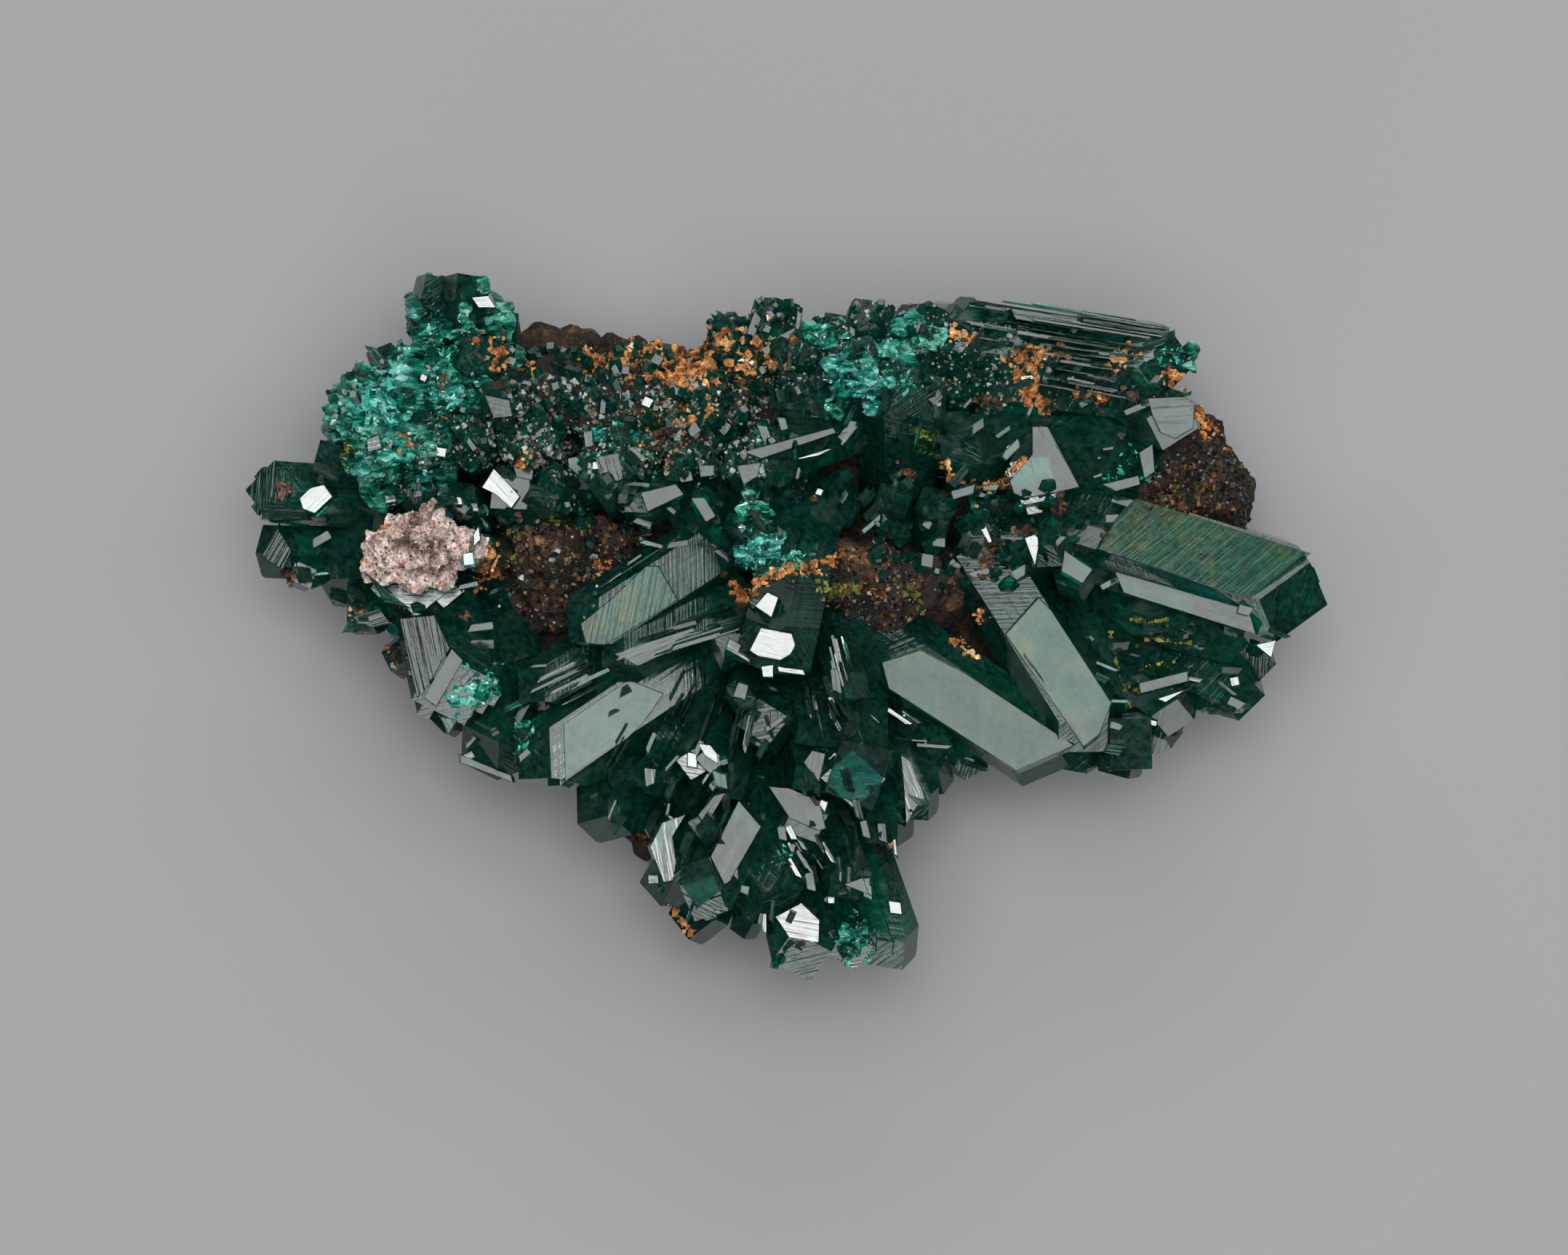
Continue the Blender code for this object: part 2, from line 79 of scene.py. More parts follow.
CAP_EDGE_SLOPE = 0.617  # how a cap's edge runs down a side face
CRYSTAL_IOR = 1.67
LEDGES_PER_MM = 2.2  # parallel prisms for each millimetre of thickness


def across(axis):
    """The direction square to an axis that looks up as far as it can."""
    up = Vector((0, 0, 1))
    if abs(axis.dot(up)) > 0.98:
        up = Vector((0, 1, 0))
    return (up - axis * axis.dot(up)).normalized()


def prism(length, thickness, widen, start, at, seed):
    """A six-sided prism along +Z with three faces at its end and growth coordinates. Millimetres."""
    crystal = bmesh.new()
    uncut = length - start + thickness + widen
    corner = thickness / 2 / math.cos(math.pi / SIDES)
    bmesh.ops.create_cone(
        crystal, segments=SIDES, radius1=corner, radius2=corner, depth=uncut, cap_ends=True
    )
    for side in (-1, 1):
        half = [vert for vert in crystal.verts if vert.co.y * side > 0]
        bmesh.ops.translate(crystal, verts=half, vec=(0, side * widen / 2, 0))
    bmesh.ops.translate(crystal, verts=crystal.verts, vec=(0, 0, uncut / 2 + start))
    for third in range(3):
        around = math.radians(30 + 120 * third)
        outward = Vector((math.cos(around), math.sin(around), 0))
        normal = outward * math.sin(CAP_TILT) + Vector((0, 0, math.cos(CAP_TILT)))
        cut = bmesh.ops.bisect_plane(
            crystal, geom=crystal.verts[:] + crystal.edges[:] + crystal.faces[:], plane_co=(0, 0, length),
            plane_no=normal, clear_outer=True
        )
        rim = [item for item in cut["geom_cut"] if isinstance(item, bmesh.types.BMEdge)]
        bmesh.ops.contextual_create(crystal, geom=rim)
    bmesh.ops.remove_doubles(crystal, verts=crystal.verts, dist=0.008)
    crystal.normal_update()
    bmesh.ops.recalc_face_normals(crystal, faces=crystal.faces)
    slanted = crystal.loops.layers.uv.new("slanted")
    lengthwise = crystal.loops.layers.uv.new("lengthwise")
    shift = Vector((seed % 17 * 3.1, seed % 23 * 2.3))
    for face in crystal.faces:
        normal = face.normal
        for loop in face.loops:
            place = loop.vert.co
            if abs(normal.z) < 0.2:
                sixth = round(math.degrees(math.atan2(normal.y, normal.x)) / 60)
                lean = CAP_EDGE_SLOPE if sixth % 2 == 0 else -CAP_EDGE_SLOPE
                wide = place.dot(Vector((0, 0, 1)).cross(normal))
                down = place.z + lean * wide
                loop[lengthwise].uv = Vector((wide, place.z)) + shift + Vector((sixth * 5.7, 0))
            else:
                wide = normal.cross(Vector((0, 0, 1))).normalized().dot(place)
                down = place.z * 1.6
                loop[lengthwise].uv = Vector((wide * 0.3, down)) + shift
            loop[slanted].uv = Vector((down, wide)) + shift
    bmesh.ops.translate(crystal, verts=crystal.verts, vec=(at[0], at[1], 0))
    return crystal


def mesh_object(name, bm):
    mesh = bpy.data.meshes.new(name)
    bm.to_mesh(mesh)
    bm.free()
    shape = bpy.data.objects.new(name, mesh)
    bpy.context.collection.objects.link(shape)
    return shape


def united(shapes):
    """One closed mesh from overlapping shapes, which are dropped."""
    first, *others = shapes
    group = bpy.data.collections.new("group")
    bpy.context.scene.collection.children.link(group)
    for other in others:
        group.objects.link(other)
    step = first.modifiers.new("step", "BOOLEAN")
    step.operation = "UNION"
    step.operand_type = "COLLECTION"
    step.collection = group
    scene_state = bpy.context.evaluated_depsgraph_get()
    result = bpy.data.meshes.new_from_object(first.evaluated_get(scene_state))
    bpy.data.collections.remove(group)
    for shape in shapes:
        bpy.data.objects.remove(shape)
    return result


def crystal_mesh(row, seed):
    """A main prism with ledges: shorter parallel prisms that stand a little proud of it."""
    foot, tip, thickness, turn, widen = row
    foot, tip = Vector(foot), Vector(tip)
    axis = (tip - foot).normalized()
    length = (tip - foot).length
    chance = random.Random(seed)
    parts = [prism(length, thickness, widen, 0, (0, 0), seed)]
    for ledge in range(round(thickness * LEDGES_PER_MM)):
        thin = thickness * chance.uniform(0.18, 0.5)
        around = math.radians(60 * chance.randrange(6) + chance.uniform(-18, 18))
        proud = chance.uniform(0.02, 0.16)
        reach = thickness / 2 - thin / 2 + proud
        at = (reach * math.cos(around), reach * math.sin(around) * (1 + widen / thickness))
        behind = chance.uniform(0.1, 1.0) ** 2 * 0.55 * length
        parts.append(prism(length - behind - reach * 0.5, thin, 0, 0.2, at, seed + ledge + 1))
    upward = Matrix.Rotation(math.radians(turn), 3, axis) @ across(axis)
    stand = Matrix((upward, axis.cross(upward), axis)).transposed().to_4x4()
    place = Matrix.Scale(MM, 4) @ Matrix.Translation(foot) @ stand
    shapes = []
    for part in parts:
        part.transform(place)
        shapes.append(mesh_object("prism", part))
    return united(shapes)


def joined(name, meshes):
    """One object from several meshes."""
    bm = bmesh.new()
    for mesh in meshes:
        bm.from_mesh(mesh)
        bpy.data.meshes.remove(mesh)
    return mesh_object(name, bm)


def colour(text):
    """An sRGB hex colour as the linear RGBA that a socket takes."""
    values = [int(text[i : i + 2], 16) / 255 for i in (0, 2, 4)]
    linear = [v / 12.92 if v <= 0.04045 else ((v + 0.055) / 1.055) ** 2.4 for v in values]
    return (*linear, 1.0)


def material(name):
    made = bpy.data.materials.new(name)
    made.use_nodes = True
    return made, made.node_tree, made.node_tree.nodes["Principled BSDF"]


def node(tree, kind, links=(), **settings):
    """Add a node. links are (input name, value, socket or node); the rest are its properties."""
    made = tree.nodes.new(kind)
    for key, value in settings.items():
        setattr(made, key, value)
    for key, value in links:
        if isinstance(value, bpy.types.Node):
            value = value.outputs[0]
        if isinstance(value, bpy.types.NodeSocket):
            tree.links.new(value, made.inputs[key])
        else:
            made.inputs[key].default_value = value
    return made


# Lines and steps of growth: which layer they follow, how many to a millimetre across and along,
# detail and distortion.
GROWTH_LINES = (
    ("slanted", (4.5, 0.2, 1), 4, 0),
    ("lengthwise", (2.6, 0.12, 1), 2, 0),
    ("slanted", (0.8, 0.35, 1), 3, 0.6),
)


def dioptase(name, roughness, relief, shines, cloud, cloud_colours):
    """Dioptase: clear, with a strong blue-green body colour, striated by its growth."""
    made, tree, shader = material(name)
    patterns = []
    for layer, scale, detail, distortion in GROWTH_LINES:
        follows = node(tree, "ShaderNodeUVMap", uv_map=layer)
        at = node(tree, "ShaderNodeMapping", [("Vector", follows), ("Scale", scale)])
        links = [("Vector", at), ("Scale", 1.0), ("Detail", detail), ("Distortion", distortion)]
        patterns.append(node(tree, "ShaderNodeTexNoise", links))
    fine, long, step = patterns
    terrace = node(tree, "ShaderNodeMath", [(0, step), (1, 0.12)], operation="SNAP")
    normal = []
    for height, depth in ((fine, 7e-5), (long, 4e-5), (terrace, 1e-4)):
        links = [("Height", height), ("Strength", relief), ("Distance", depth)]
        bump = node(tree, "ShaderNodeBump", links + normal)
        normal = [("Normal", bump)]
    tree.links.new(bump.outputs[0], shader.inputs["Normal"])
    where = node(tree, "ShaderNodeTexCoord").outputs["Object"]
    drift = node(
        tree, "ShaderNodeTexNoise",
        [("Vector", where), ("Scale", 420.0), ("Detail", 5.0), ("Roughness", 0.75)]
    )
    lines = node(tree, "ShaderNodeMath", [(0, fine), (1, long)], operation="ADD")
    streaks = node(tree, "ShaderNodeMath", [(0, lines), (1, drift)], operation="ADD")
    shine = node(
        tree, "ShaderNodeMapRange",
        [
            ("Value", streaks), ("From Min", 1.3), ("From Max", 1.7), ("To Min", shines[0]),
            ("To Max", shines[1])
        ]
    )
    tree.links.new(shine.outputs[0], shader.inputs["Specular IOR Level"])
    mottle = node(
        tree, "ShaderNodeTexNoise",
        [("Vector", where), ("Scale", 2600.0), ("Detail", 3.0), ("Roughness", 0.7)]
    )
    mask = node(tree, "ShaderNodeMapRange", [("Value", mottle), ("From Min", 0.25), ("From Max", 0.75)])
    clear = node(tree, "ShaderNodeMapRange", [("Value", mask), ("To Min", 1.0), ("To Max", 1.0 - cloud)])
    tree.links.new(clear.outputs[0], shader.inputs["Transmission Weight"])
    ramp = node(tree, "ShaderNodeValToRGB", [("Fac", drift)])
    stops = ramp.color_ramp.elements
    stops.new(0.5)
    for stop, at, text in zip(stops, (0.38, 0.5, 0.64), cloud_colours):
        stop.position = at
        stop.color = colour(text)
    tree.links.new(ramp.outputs[0], shader.inputs["Base Color"])
    shader.inputs["Roughness"].default_value = roughness
    shader.inputs["IOR"].default_value = CRYSTAL_IOR
    body = node(
        tree, "ShaderNodeVolumeAbsorption", [("Color", (0.0, 0.88, 0.84, 1.0)), ("Density", 2200.0)]
    )
    tree.links.new(body.outputs[0], tree.nodes["Material Output"].inputs["Volume"])
    return made


dioptase_clear = dioptase("dioptase", 0.06, 0.5, (0.1, 0.8), 0.13, ("1E7A68", "309C88", "50AC90"))
dioptase_cloudy = dioptase(
    "dioptase with a cloudy skin", 0.1, 0.12, (0.0, 0.3), 0.34, ("1C8474", "4C9478", "8CA06C")
)
# A paler, greyer copy for the faces that catch the light: its lighter body colour is painted sheen.
dioptase_face_painted_sheen = dioptase("dioptase face with painted sheen", 0.07, 0.25, (0.5, 1.0), 0.12, ("4A8C80", "6AA094", "7CA894"))


def cluster(name, rows, first_seed):
    """One piece from a table of crystals."""
    shape = joined(name, [crystal_mesh(row, first_seed + 31 * i) for i, row in enumerate(rows)])
    shape.data.materials.append(dioptase_clear)
    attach(shape, "root")
    return shape


left_crystals = cluster("left_crystals", LEFT_CRYSTALS, 100)
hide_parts("dioptase_left_cluster")

# Crystals that radiate from the middle
# The same dioptase: a fan to the lower left, a head that looks up, and the sugary crust of the
# top edge.
CENTER_CRYSTALS = (
    ((-3.4, 4.9, 12.5), (-12.3, -0.9, 16), 3, -6, 0.9),
    ((-2.2, 1.6, 12), (-10.4, -2.4, 16.5), 2.2, 14, 0.7),
    ((-6, 1.4, 10.5), (-15.2, -4.4, 14.5), 2.6, 0, 0.5),
    ((-4, -1.4, 12), (-15.2, -8.8, 15), 3.6, 2, 0.8),
    ((-3.8, -0.2, 10), (-11.8, -4.6, 14.5), 2.4, 20, 0.4),
    ((1.2, 6, 13.5), (-0.7, -2.7, 21.5), 3.8, 30, 0.5),
    ((0.4, 4, 12.5), (-1.5, 0.3, 20.5), 1.8, -30, 0.1),
    ((-1.4, 1.6, 12), (-3.4, -1.8, 20), 1.9, -20, 0.2),
    ((-1.6, -0.5, 11), (-2.6, -4.5, 19), 1.6, -30, 0.2),
    ((2, 1.4, 12), (3.9, -4.2, 19.5), 1.9, 20, 0.4),
    ((1.6, 0.2, 11), (3.3, -7, 18), 1.9, 8, 0.6),
    ((0.4, -0.6, 11), (1.8, -6.9, 17.5), 1.5, 0, 0.5),
    ((-1.2, -0.8, 10), (-0.9, -6.8, 17.5), 2.9, -20, 0.3),
    ((-3.8, -1, 10), (-5.3, -8.8, 17), 1.9, -30, 0.2),
    ((-3.2, -1, 10), (-4.2, -8.4, 18), 1.6, -22, 0.2),
    ((-4.2, -1.8, 9.5), (-7.9, -9.6, 15.5), 2.2, 5, 0.4),
    ((-2.4, -2, 9.5), (-3.3, -9.9, 16.5), 1.9, 20, 0.3),
    ((-4.6, -2.6, 8.5), (-9.8, -9.4, 13.5), 2.6, 12, 0.3),
    ((0, -2.5, 9.5), (1.9, -9.5, 17.5), 2, 0, 0.4),
    ((4.2, -0.2, 9.5), (4, -10.4, 17.5), 3.6, -28, 0.2),
    ((-0.4, -4.5, 8.5), (1.8, -12.4, 15), 2.6, -18, 0.4),
    ((3.6, -3.6, 8), (6.5, -12.7, 13.5), 2.7, 10, 0.3),
    ((4.8, -3.2, 9), (8.3, -11.2, 13.5), 1.8, 5, 0.6),
    ((5.2, -2.8, 8.5), (9.2, -9.7, 12), 2.2, 15, 0.2),
    ((4.2, -3.8, 9), (9.8, -7.2, 13), 1.8, 0, 0.4),
    ((5.2, -4.2, 8), (11.8, -8.2, 10.5), 2, 10, 0.4),
    ((-6.8, 13, 8), (-10.6, 7.2, 16.5), 3.6, 5, 0.7),
    ((-3.4, 9, 10), (-9.1, 6.5, 16), 2, 0, 0.4),
    ((-3.4, 9.8, 9.5), (-6.6, 9.4, 15.5), 1.9, 15, 0.3),
    ((5, 11.9, 12.5), (-3.4, 8.6, 17.5), 2.4, 20, 0.7),
    ((-1.2, 10, 9), (-1.9, 4.9, 17.5), 2.4, 0, 0.4),
    ((-0.2, 9, 11), (-0.8, 3, 17.5), 3, 6, 1.4),
    ((6.9, 6, 8.5), (6.7, 14.8, 18), 3.9, 10, 0.6),
    ((6.4, 4.2, 9), (6.2, 7.6, 17.5), 1.7, 0, 0.3),
    ((8.2, 3.8, 9), (8.8, 7.4, 17), 1.9, 12, 0.3),
    ((4.4, 11, 8), (4.2, 15, 19), 3.3, 10, 0.4),
    ((1.2, 11, 8), (0.7, 17.3, 14.5), 2.9, 0, 0.4),
    ((-1.2, 11.5, 8), (-0.4, 18.8, 14.5), 2.6, 20, 0.3),
    ((-2.8, 11.5, 8), (-3, 17.9, 13.5), 2.6, 6, 0.3),
    ((3, 12, 8), (2.9, 17.6, 14.5), 2.8, 15, 0.3),
    ((5.2, 12, 8), (4.9, 18.7, 14), 2.8, 0, 0.4),
    ((8, 12, 8), (8, 18.5, 13.5), 3.2, 12, 0.4),
    ((-4.4, 10.5, 8), (-5, 13.6, 16), 2.8, 0, 0.4),
    ((1.2, 9.5, 8), (1, 13.8, 17.5), 2.8, 8, 0.3),
    ((2.6, 6.8, 8.5), (2.8, 7.2, 16), 3, 0, 0.3),
    ((-4.6, 6, 8.5), (-4.8, 6.2, 15.5), 3, 0, 0.3),
    ((4, -3, 4), (9, -8.4, 7.5), 3.8, 0, 0.3),
    ((2, 9, 4.5), (2.5, 17.2, 8), 4.4, 17, 0.3),
)
center_crystals = cluster("center_crystals", CENTER_CRYSTALS, 3000)
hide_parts("dioptase_center_spray")

# Prisms of the right half
# The same dioptase: the long striated prism of the top edge, the largest prism at the right end,
# and two broad ones that point to the lower right.
RIGHT_CRYSTALS = (
    ((8.5, 16.6, 10), (23.6, 15, 14), 3.6, -24, 0.8),
    ((9.6, 14.6, 9.5), (21.6, 12.9, 14.5), 2.8, 5, 0.8),
    ((9.8, 12.5, 8), (10.9, 18.9, 12.5), 2.6, 0, 0.4),
    ((16.6, 13.6, 9.5), (23.7, 11.3, 15.5), 3, -26, 0.6),
    ((9.6, 10, 10), (21.9, 9.5, 14.5), 3.8, 24, 0.7),
    ((17, 12.4, 9.5), (13.6, 6.9, 15.8), 3.2, -30, 0.6),
    ((10.8, 6.6, 9.5), (20.6, 6.7, 13.5), 2.4, 0, 0.4),
    ((13.4, 10.2, 9.5), (9.2, 9, 15.5), 3.2, 20, 0.4),
    ((13.6, 6.7, 10.5), (31.2, 1.2, 14), 4.2, -25, 1.6),
    ((14.6, 4.4, 9.5), (27.6, 0.3, 12.4), 2.2, -25, 0.6),
    ((10.2, 3.6, 9), (11.4, 6, 16.5), 1.8, 0, 0.3),
    ((12.4, 2.8, 9.5), (13.9, 5.6, 16.5), 1.9, -28, 0.3),
    ((14.8, 3.6, 9), (15.3, 4.6, 18), 2.2, 0, 0.3),
    ((16, 5.2, 9.5), (16.8, 2, 16.5), 1.9, -25, 0.3),
    ((3.6, 0.6, 12.5), (16.4, -8.1, 13), 3.3, 15, 1.3),
    ((11.4, 4.4, 11.5), (18.5, -7.2, 15.5), 3.1, 0, 1.2),
    ((11, 2.6, 10.5), (16.4, -6.4, 14.5), 1.8, 0, 0.6),
    ((15.4, -1, 9), (17.4, -8.5, 13.5), 1.8, 10, 0.4),
    ((15.2, 3.8, 8.5), (19.8, -6, 13), 4, 14, 0.6),
    ((17.5, 0.6, 8), (28.4, -2.2, 11.5), 3.8, 10, 0.6),
    ((17, -1, 8), (27.7, -4, 12.5), 2.8, 0, 0.4),
    ((16.5, -1, 8.5), (23.6, -5.4, 13), 2.6, 12, 0.3),
    ((18, 2.2, 10), (25.2, -0.4, 14.5), 2.8, 0, 0.5),
    ((18.4, -1.8, 8), (19.8, -8.8, 13.5), 2.4, 0, 0.4),
    ((18.5, -2.4, 8), (22.3, -7.1, 12), 2.6, 20, 0.3),
    ((12, 9, 4), (18.5, 16.2, 8), 4.4, 0, 0.3),
    ((16, 4, 4), (27.6, 2.4, 7), 4.6, 17, 0.3),
    ((14, 0, 3.5), (24.5, -4.2, 6.5), 4.2, 34, 0.3),
)
right_crystals = cluster("right_crystals", RIGHT_CRYSTALS, 6000)
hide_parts("dioptase_right_prisms")

# Tail of narrow crystals
# The same dioptase, hanging below the middle in the photo.
TAIL_CRYSTALS = (
    ((-4.6, -8, 8.5), (-11.9, -11.4, 12.5), 3.2, 20, 0.4),
    ((-3.6, -8.4, 9.5), (-7.1, -16.1, 13.5), 2.8, 24, 0.4),
    ((-0.8, -7.9, 10), (-5.1, -16.9, 16), 3, -28, 0.3),
    ((-2.6, -9, 10), (-4.8, -12.1, 17), 1.6, 0, 0.3),
    ((-4, -11, 8), (-7.5, -15.7, 12), 1.8, 8, 0.3),
    ((-2.6, -12, 6.5), (-5.5, -18.1, 11.5), 2.6, 0, 0.4),
    ((-1, -12, 7), (-2.3, -18.1, 11), 1.5, 12, 0.2),
    ((2.4, -8.6, 10), (-2.1, -16.8, 14.5), 3.4, 24, 0.4),
    ((-0.6, -11.5, 8), (1.5, -20.5, 13.5), 3.2, -30, 0.6),
    ((2.6, -11.5, 7.5), (4.1, -19.8, 13), 2.5, -30, 0.2),
    ((3.2, -9.6, 8.5), (6.8, -19.8, 13), 2.8, 6, 0.3),
    ((2.2, -10.4, 9.5), (4, -15.6, 15.5), 2.1, 0, 0.3),
    ((2.6, -9, 6), (6, -13.5, 9.5), 2.4, 10, 0.2),
    ((-1, -9, 3.5), (-7.4, -13, 6.5), 3.6, 0, 0.3),
    ((1, -9, 3.5), (1.4, -18.2, 6.5), 3.8, 17, 0.3),
)
tail_crystals = cluster("tail_crystals", TAIL_CRYSTALS, 9000)
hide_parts("dioptase_tail_cluster")

# Rock
# Brown iron-stained rock with a granular skin. Lumps melted together by a voxel remesh, then
# roughened point by point, and cut off flat at the back.
ROCK_LUMPS = (
    ((-15.5, 6.5, 3), (9, 8, 6.5)),
    ((-5, 8, 3), (11, 7.5, 7.5)),
    ((-6.5, 12.6, 5.5), (8, 3.8, 9)),
    ((-13.6, 13.4, 6), (3.4, 3.7, 7.5)),
    ((4, 4.5, 3.5), (12, 9.5, 7.5)),
    ((14.5, 5.5, 3.5), (11, 9, 6.5)),
    ((22.1, 8, 6.5), (4.6, 4.2, 7.6)),
    ((-20.5, 9.8, 5), (5, 4.4, 6)),
    ((4, 12.5, 5), (6, 4.3, 6.8)),
    ((-5, -8, 3.2), (6, 5.5, 5)),
    ((5.3, 2.2, 11), (4.6, 2.8, 5)),
    ((-12.5, 3.6, 8.5), (4.8, 3.8, 5.2)),
    ((15, -1.5, 3.5), (8, 4, 6)),
    ((-12, -1.5, 3.5), (8, 5.5, 6)),
    ((-1, -4.5, 3.5), (9, 6, 6)),
    ((0.2, -11, 4), (5.6, 6.2, 5)),
)
ROCK_VOXEL = 0.33
BACK_CUT = 0.00002  # metres above the surface that the specimen lies on


def melted(name, lumps, voxel, rings=3):
    """One skin around several ellipsoids, in metres."""
    bm = bmesh.new()
    for centre, half in lumps:
        made = bmesh.ops.create_icosphere(bm, subdivisions=rings, radius=1)["verts"]
        for vert in made:
            vert.co = Vector([(centre[i] + vert.co[i] * half[i]) * MM for i in range(3)])
    rough = mesh_object(name, bm)
    skin = rough.modifiers.new("skin", "REMESH")
    skin.mode = "VOXEL"
    skin.voxel_size = voxel * MM
    scene_state = bpy.context.evaluated_depsgraph_get()
    mesh = bpy.data.meshes.new_from_object(rough.evaluated_get(scene_state))
    bpy.data.objects.remove(rough)
    bm = bmesh.new()
    bm.from_mesh(mesh)
    bpy.data.meshes.remove(mesh)
    return bm


def roughened(bm, sizes):
    """Move each point along its normal. sizes are (height, grain) pairs in millimetres."""
    bm.normal_update()
    moves = []
    for vert in bm.verts:
        out = 0
        for height, grain in sizes:
            out += height * noise.noise(vert.co / (grain * MM))
        moves.append(vert.normal * out * MM)
    for vert, move in zip(bm.verts, moves):
        vert.co += move


def cut_flat(bm):
    """Cut off what is below the surface that the specimen lies on."""
    cut = bmesh.ops.bisect_plane(
        bm, geom=bm.verts[:] + bm.edges[:] + bm.faces[:], plane_co=(0, 0, BACK_CUT), plane_no=(0, 0, -1),
        clear_outer=True
    )
    rim = [item for item in cut["geom_cut"] if isinstance(item, bmesh.types.BMEdge)]
    bmesh.ops.holes_fill(bm, edges=rim)


def stone(name, colours, scale, roughness=0.9):
    """Rock: patches of several stains, with a granular bump."""
    made, tree, shader = material(name)
    where = node(tree, "ShaderNodeTexCoord").outputs["Object"]
    patch = node(
        tree, "ShaderNodeTexNoise",
        [("Vector", where), ("Scale", scale), ("Detail", 8.0), ("Roughness", 0.72)]
    )
    ramp = node(tree, "ShaderNodeValToRGB", [("Fac", patch)])
    stops = ramp.color_ramp.elements
    while len(stops) < len(colours):
        stops.new(0.5)
    for stop, (at, text) in zip(stops, colours):
        stop.position = at
        stop.color = colour(text)
    grain = node(tree, "ShaderNodeTexVoronoi", [("Vector", where), ("Scale", 3200.0), ("Randomness", 1.0)])
    shade = node(
        tree, "ShaderNodeMapRange", [("Value", grain.outputs["Color"]), ("To Min", 0.35), ("To Max", 1.5)]
    )
    tinted = node(tree, "ShaderNodeMix", data_type="RGBA", blend_type="MULTIPLY")
    tinted.inputs[0].default_value = 1.0
    tree.links.new(ramp.outputs[0], tinted.inputs[6])
    tree.links.new(shade.outputs[0], tinted.inputs[7])
    tree.links.new(tinted.outputs[2], shader.inputs["Base Color"])
    bump = node(
        tree, "ShaderNodeBump",
        [("Height", grain.outputs["Distance"]), ("Strength", 0.8), ("Distance", 2e-4)]
    )
    tree.links.new(bump.outputs[0], shader.inputs["Normal"])
    shader.inputs["Roughness"].default_value = roughness
    return made


brown_rock = stone(
    "iron-stained rock",
    (
        (0.33, "080706"), (0.45, "16110E"), (0.52, "281D15"), (0.58, "3E2A1A"), (0.66, "664222"),
        (0.76, "242220")
    ),
    420.0
)
rock_skin = melted("rock", ROCK_LUMPS, ROCK_VOXEL)
roughened(rock_skin, ((1.6, 4.0), (0.9, 1.7), (0.6, 0.8)))
cut_flat(rock_skin)
rock = mesh_object("rock", rock_skin)
rock.data.materials.append(brown_rock)
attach(rock, "root")
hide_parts("matrix_rock")

# Granular lump
# A pinkish-brown lump of fine grains on a crystal at the left: a remeshed, roughened heap.
LUMP = (
    ((-22.2, 4.2, 16.6), (1.9, 1.8, 1.9)),
    ((-20.2, 4.8, 17), (2.1, 1.9, 2.2)),
    ((-18.8, 4.6, 16.4), (1.3, 1.4, 1.7)),
    ((-20.8, 3.4, 16.2), (2.2, 1.2, 1.6)),
)
pink_grains = stone(
    "sugary grains",
    (
        (0.34, "241A16"), (0.41, "66524B"), (0.48, "A88F86"), (0.55, "E2D2CC"), (0.62, "B07450"),
        (0.72, "C8844A")
    ),
    480.0
)
LUMP_VOXEL = 0.09
lump_skin = melted("granular_lump", LUMP, LUMP_VOXEL)
roughened(lump_skin, ((0.9, 1.2), (0.4, 0.5), (0.2, 0.2)))
lump = mesh_object("sugary_lump", lump_skin)
lump.data.materials.append(pink_grains)
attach(lump, "root")
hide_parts("granular_lump")

# Etched dome
# Dioptase that was etched to a rounded, sugary mass at the upper left: remeshed lumps, ridged all
# over, with a coat of tiny crystals.
DOME_LUMPS = (
    ((-22.6, 12.2, 13), (3.4, 3.1, 4.9)),
    ((-19.6, 12.8, 12.6), (3.4, 3.2, 5)),
    ((-22, 9.9, 13), (3.4, 2.2, 4.9)),
    ((-24, 11.6, 10.5), (2.2, 2.4, 3.4)),
    ((-20.3, 17.4, 12.4), (0.95, 2.5, 2.2)),
    ((-18.3, 17.6, 12.6), (1.2, 2.5, 2.6)),
    ((-16.8, 15.6, 12.5), (1.6, 2.2, 3)),
)


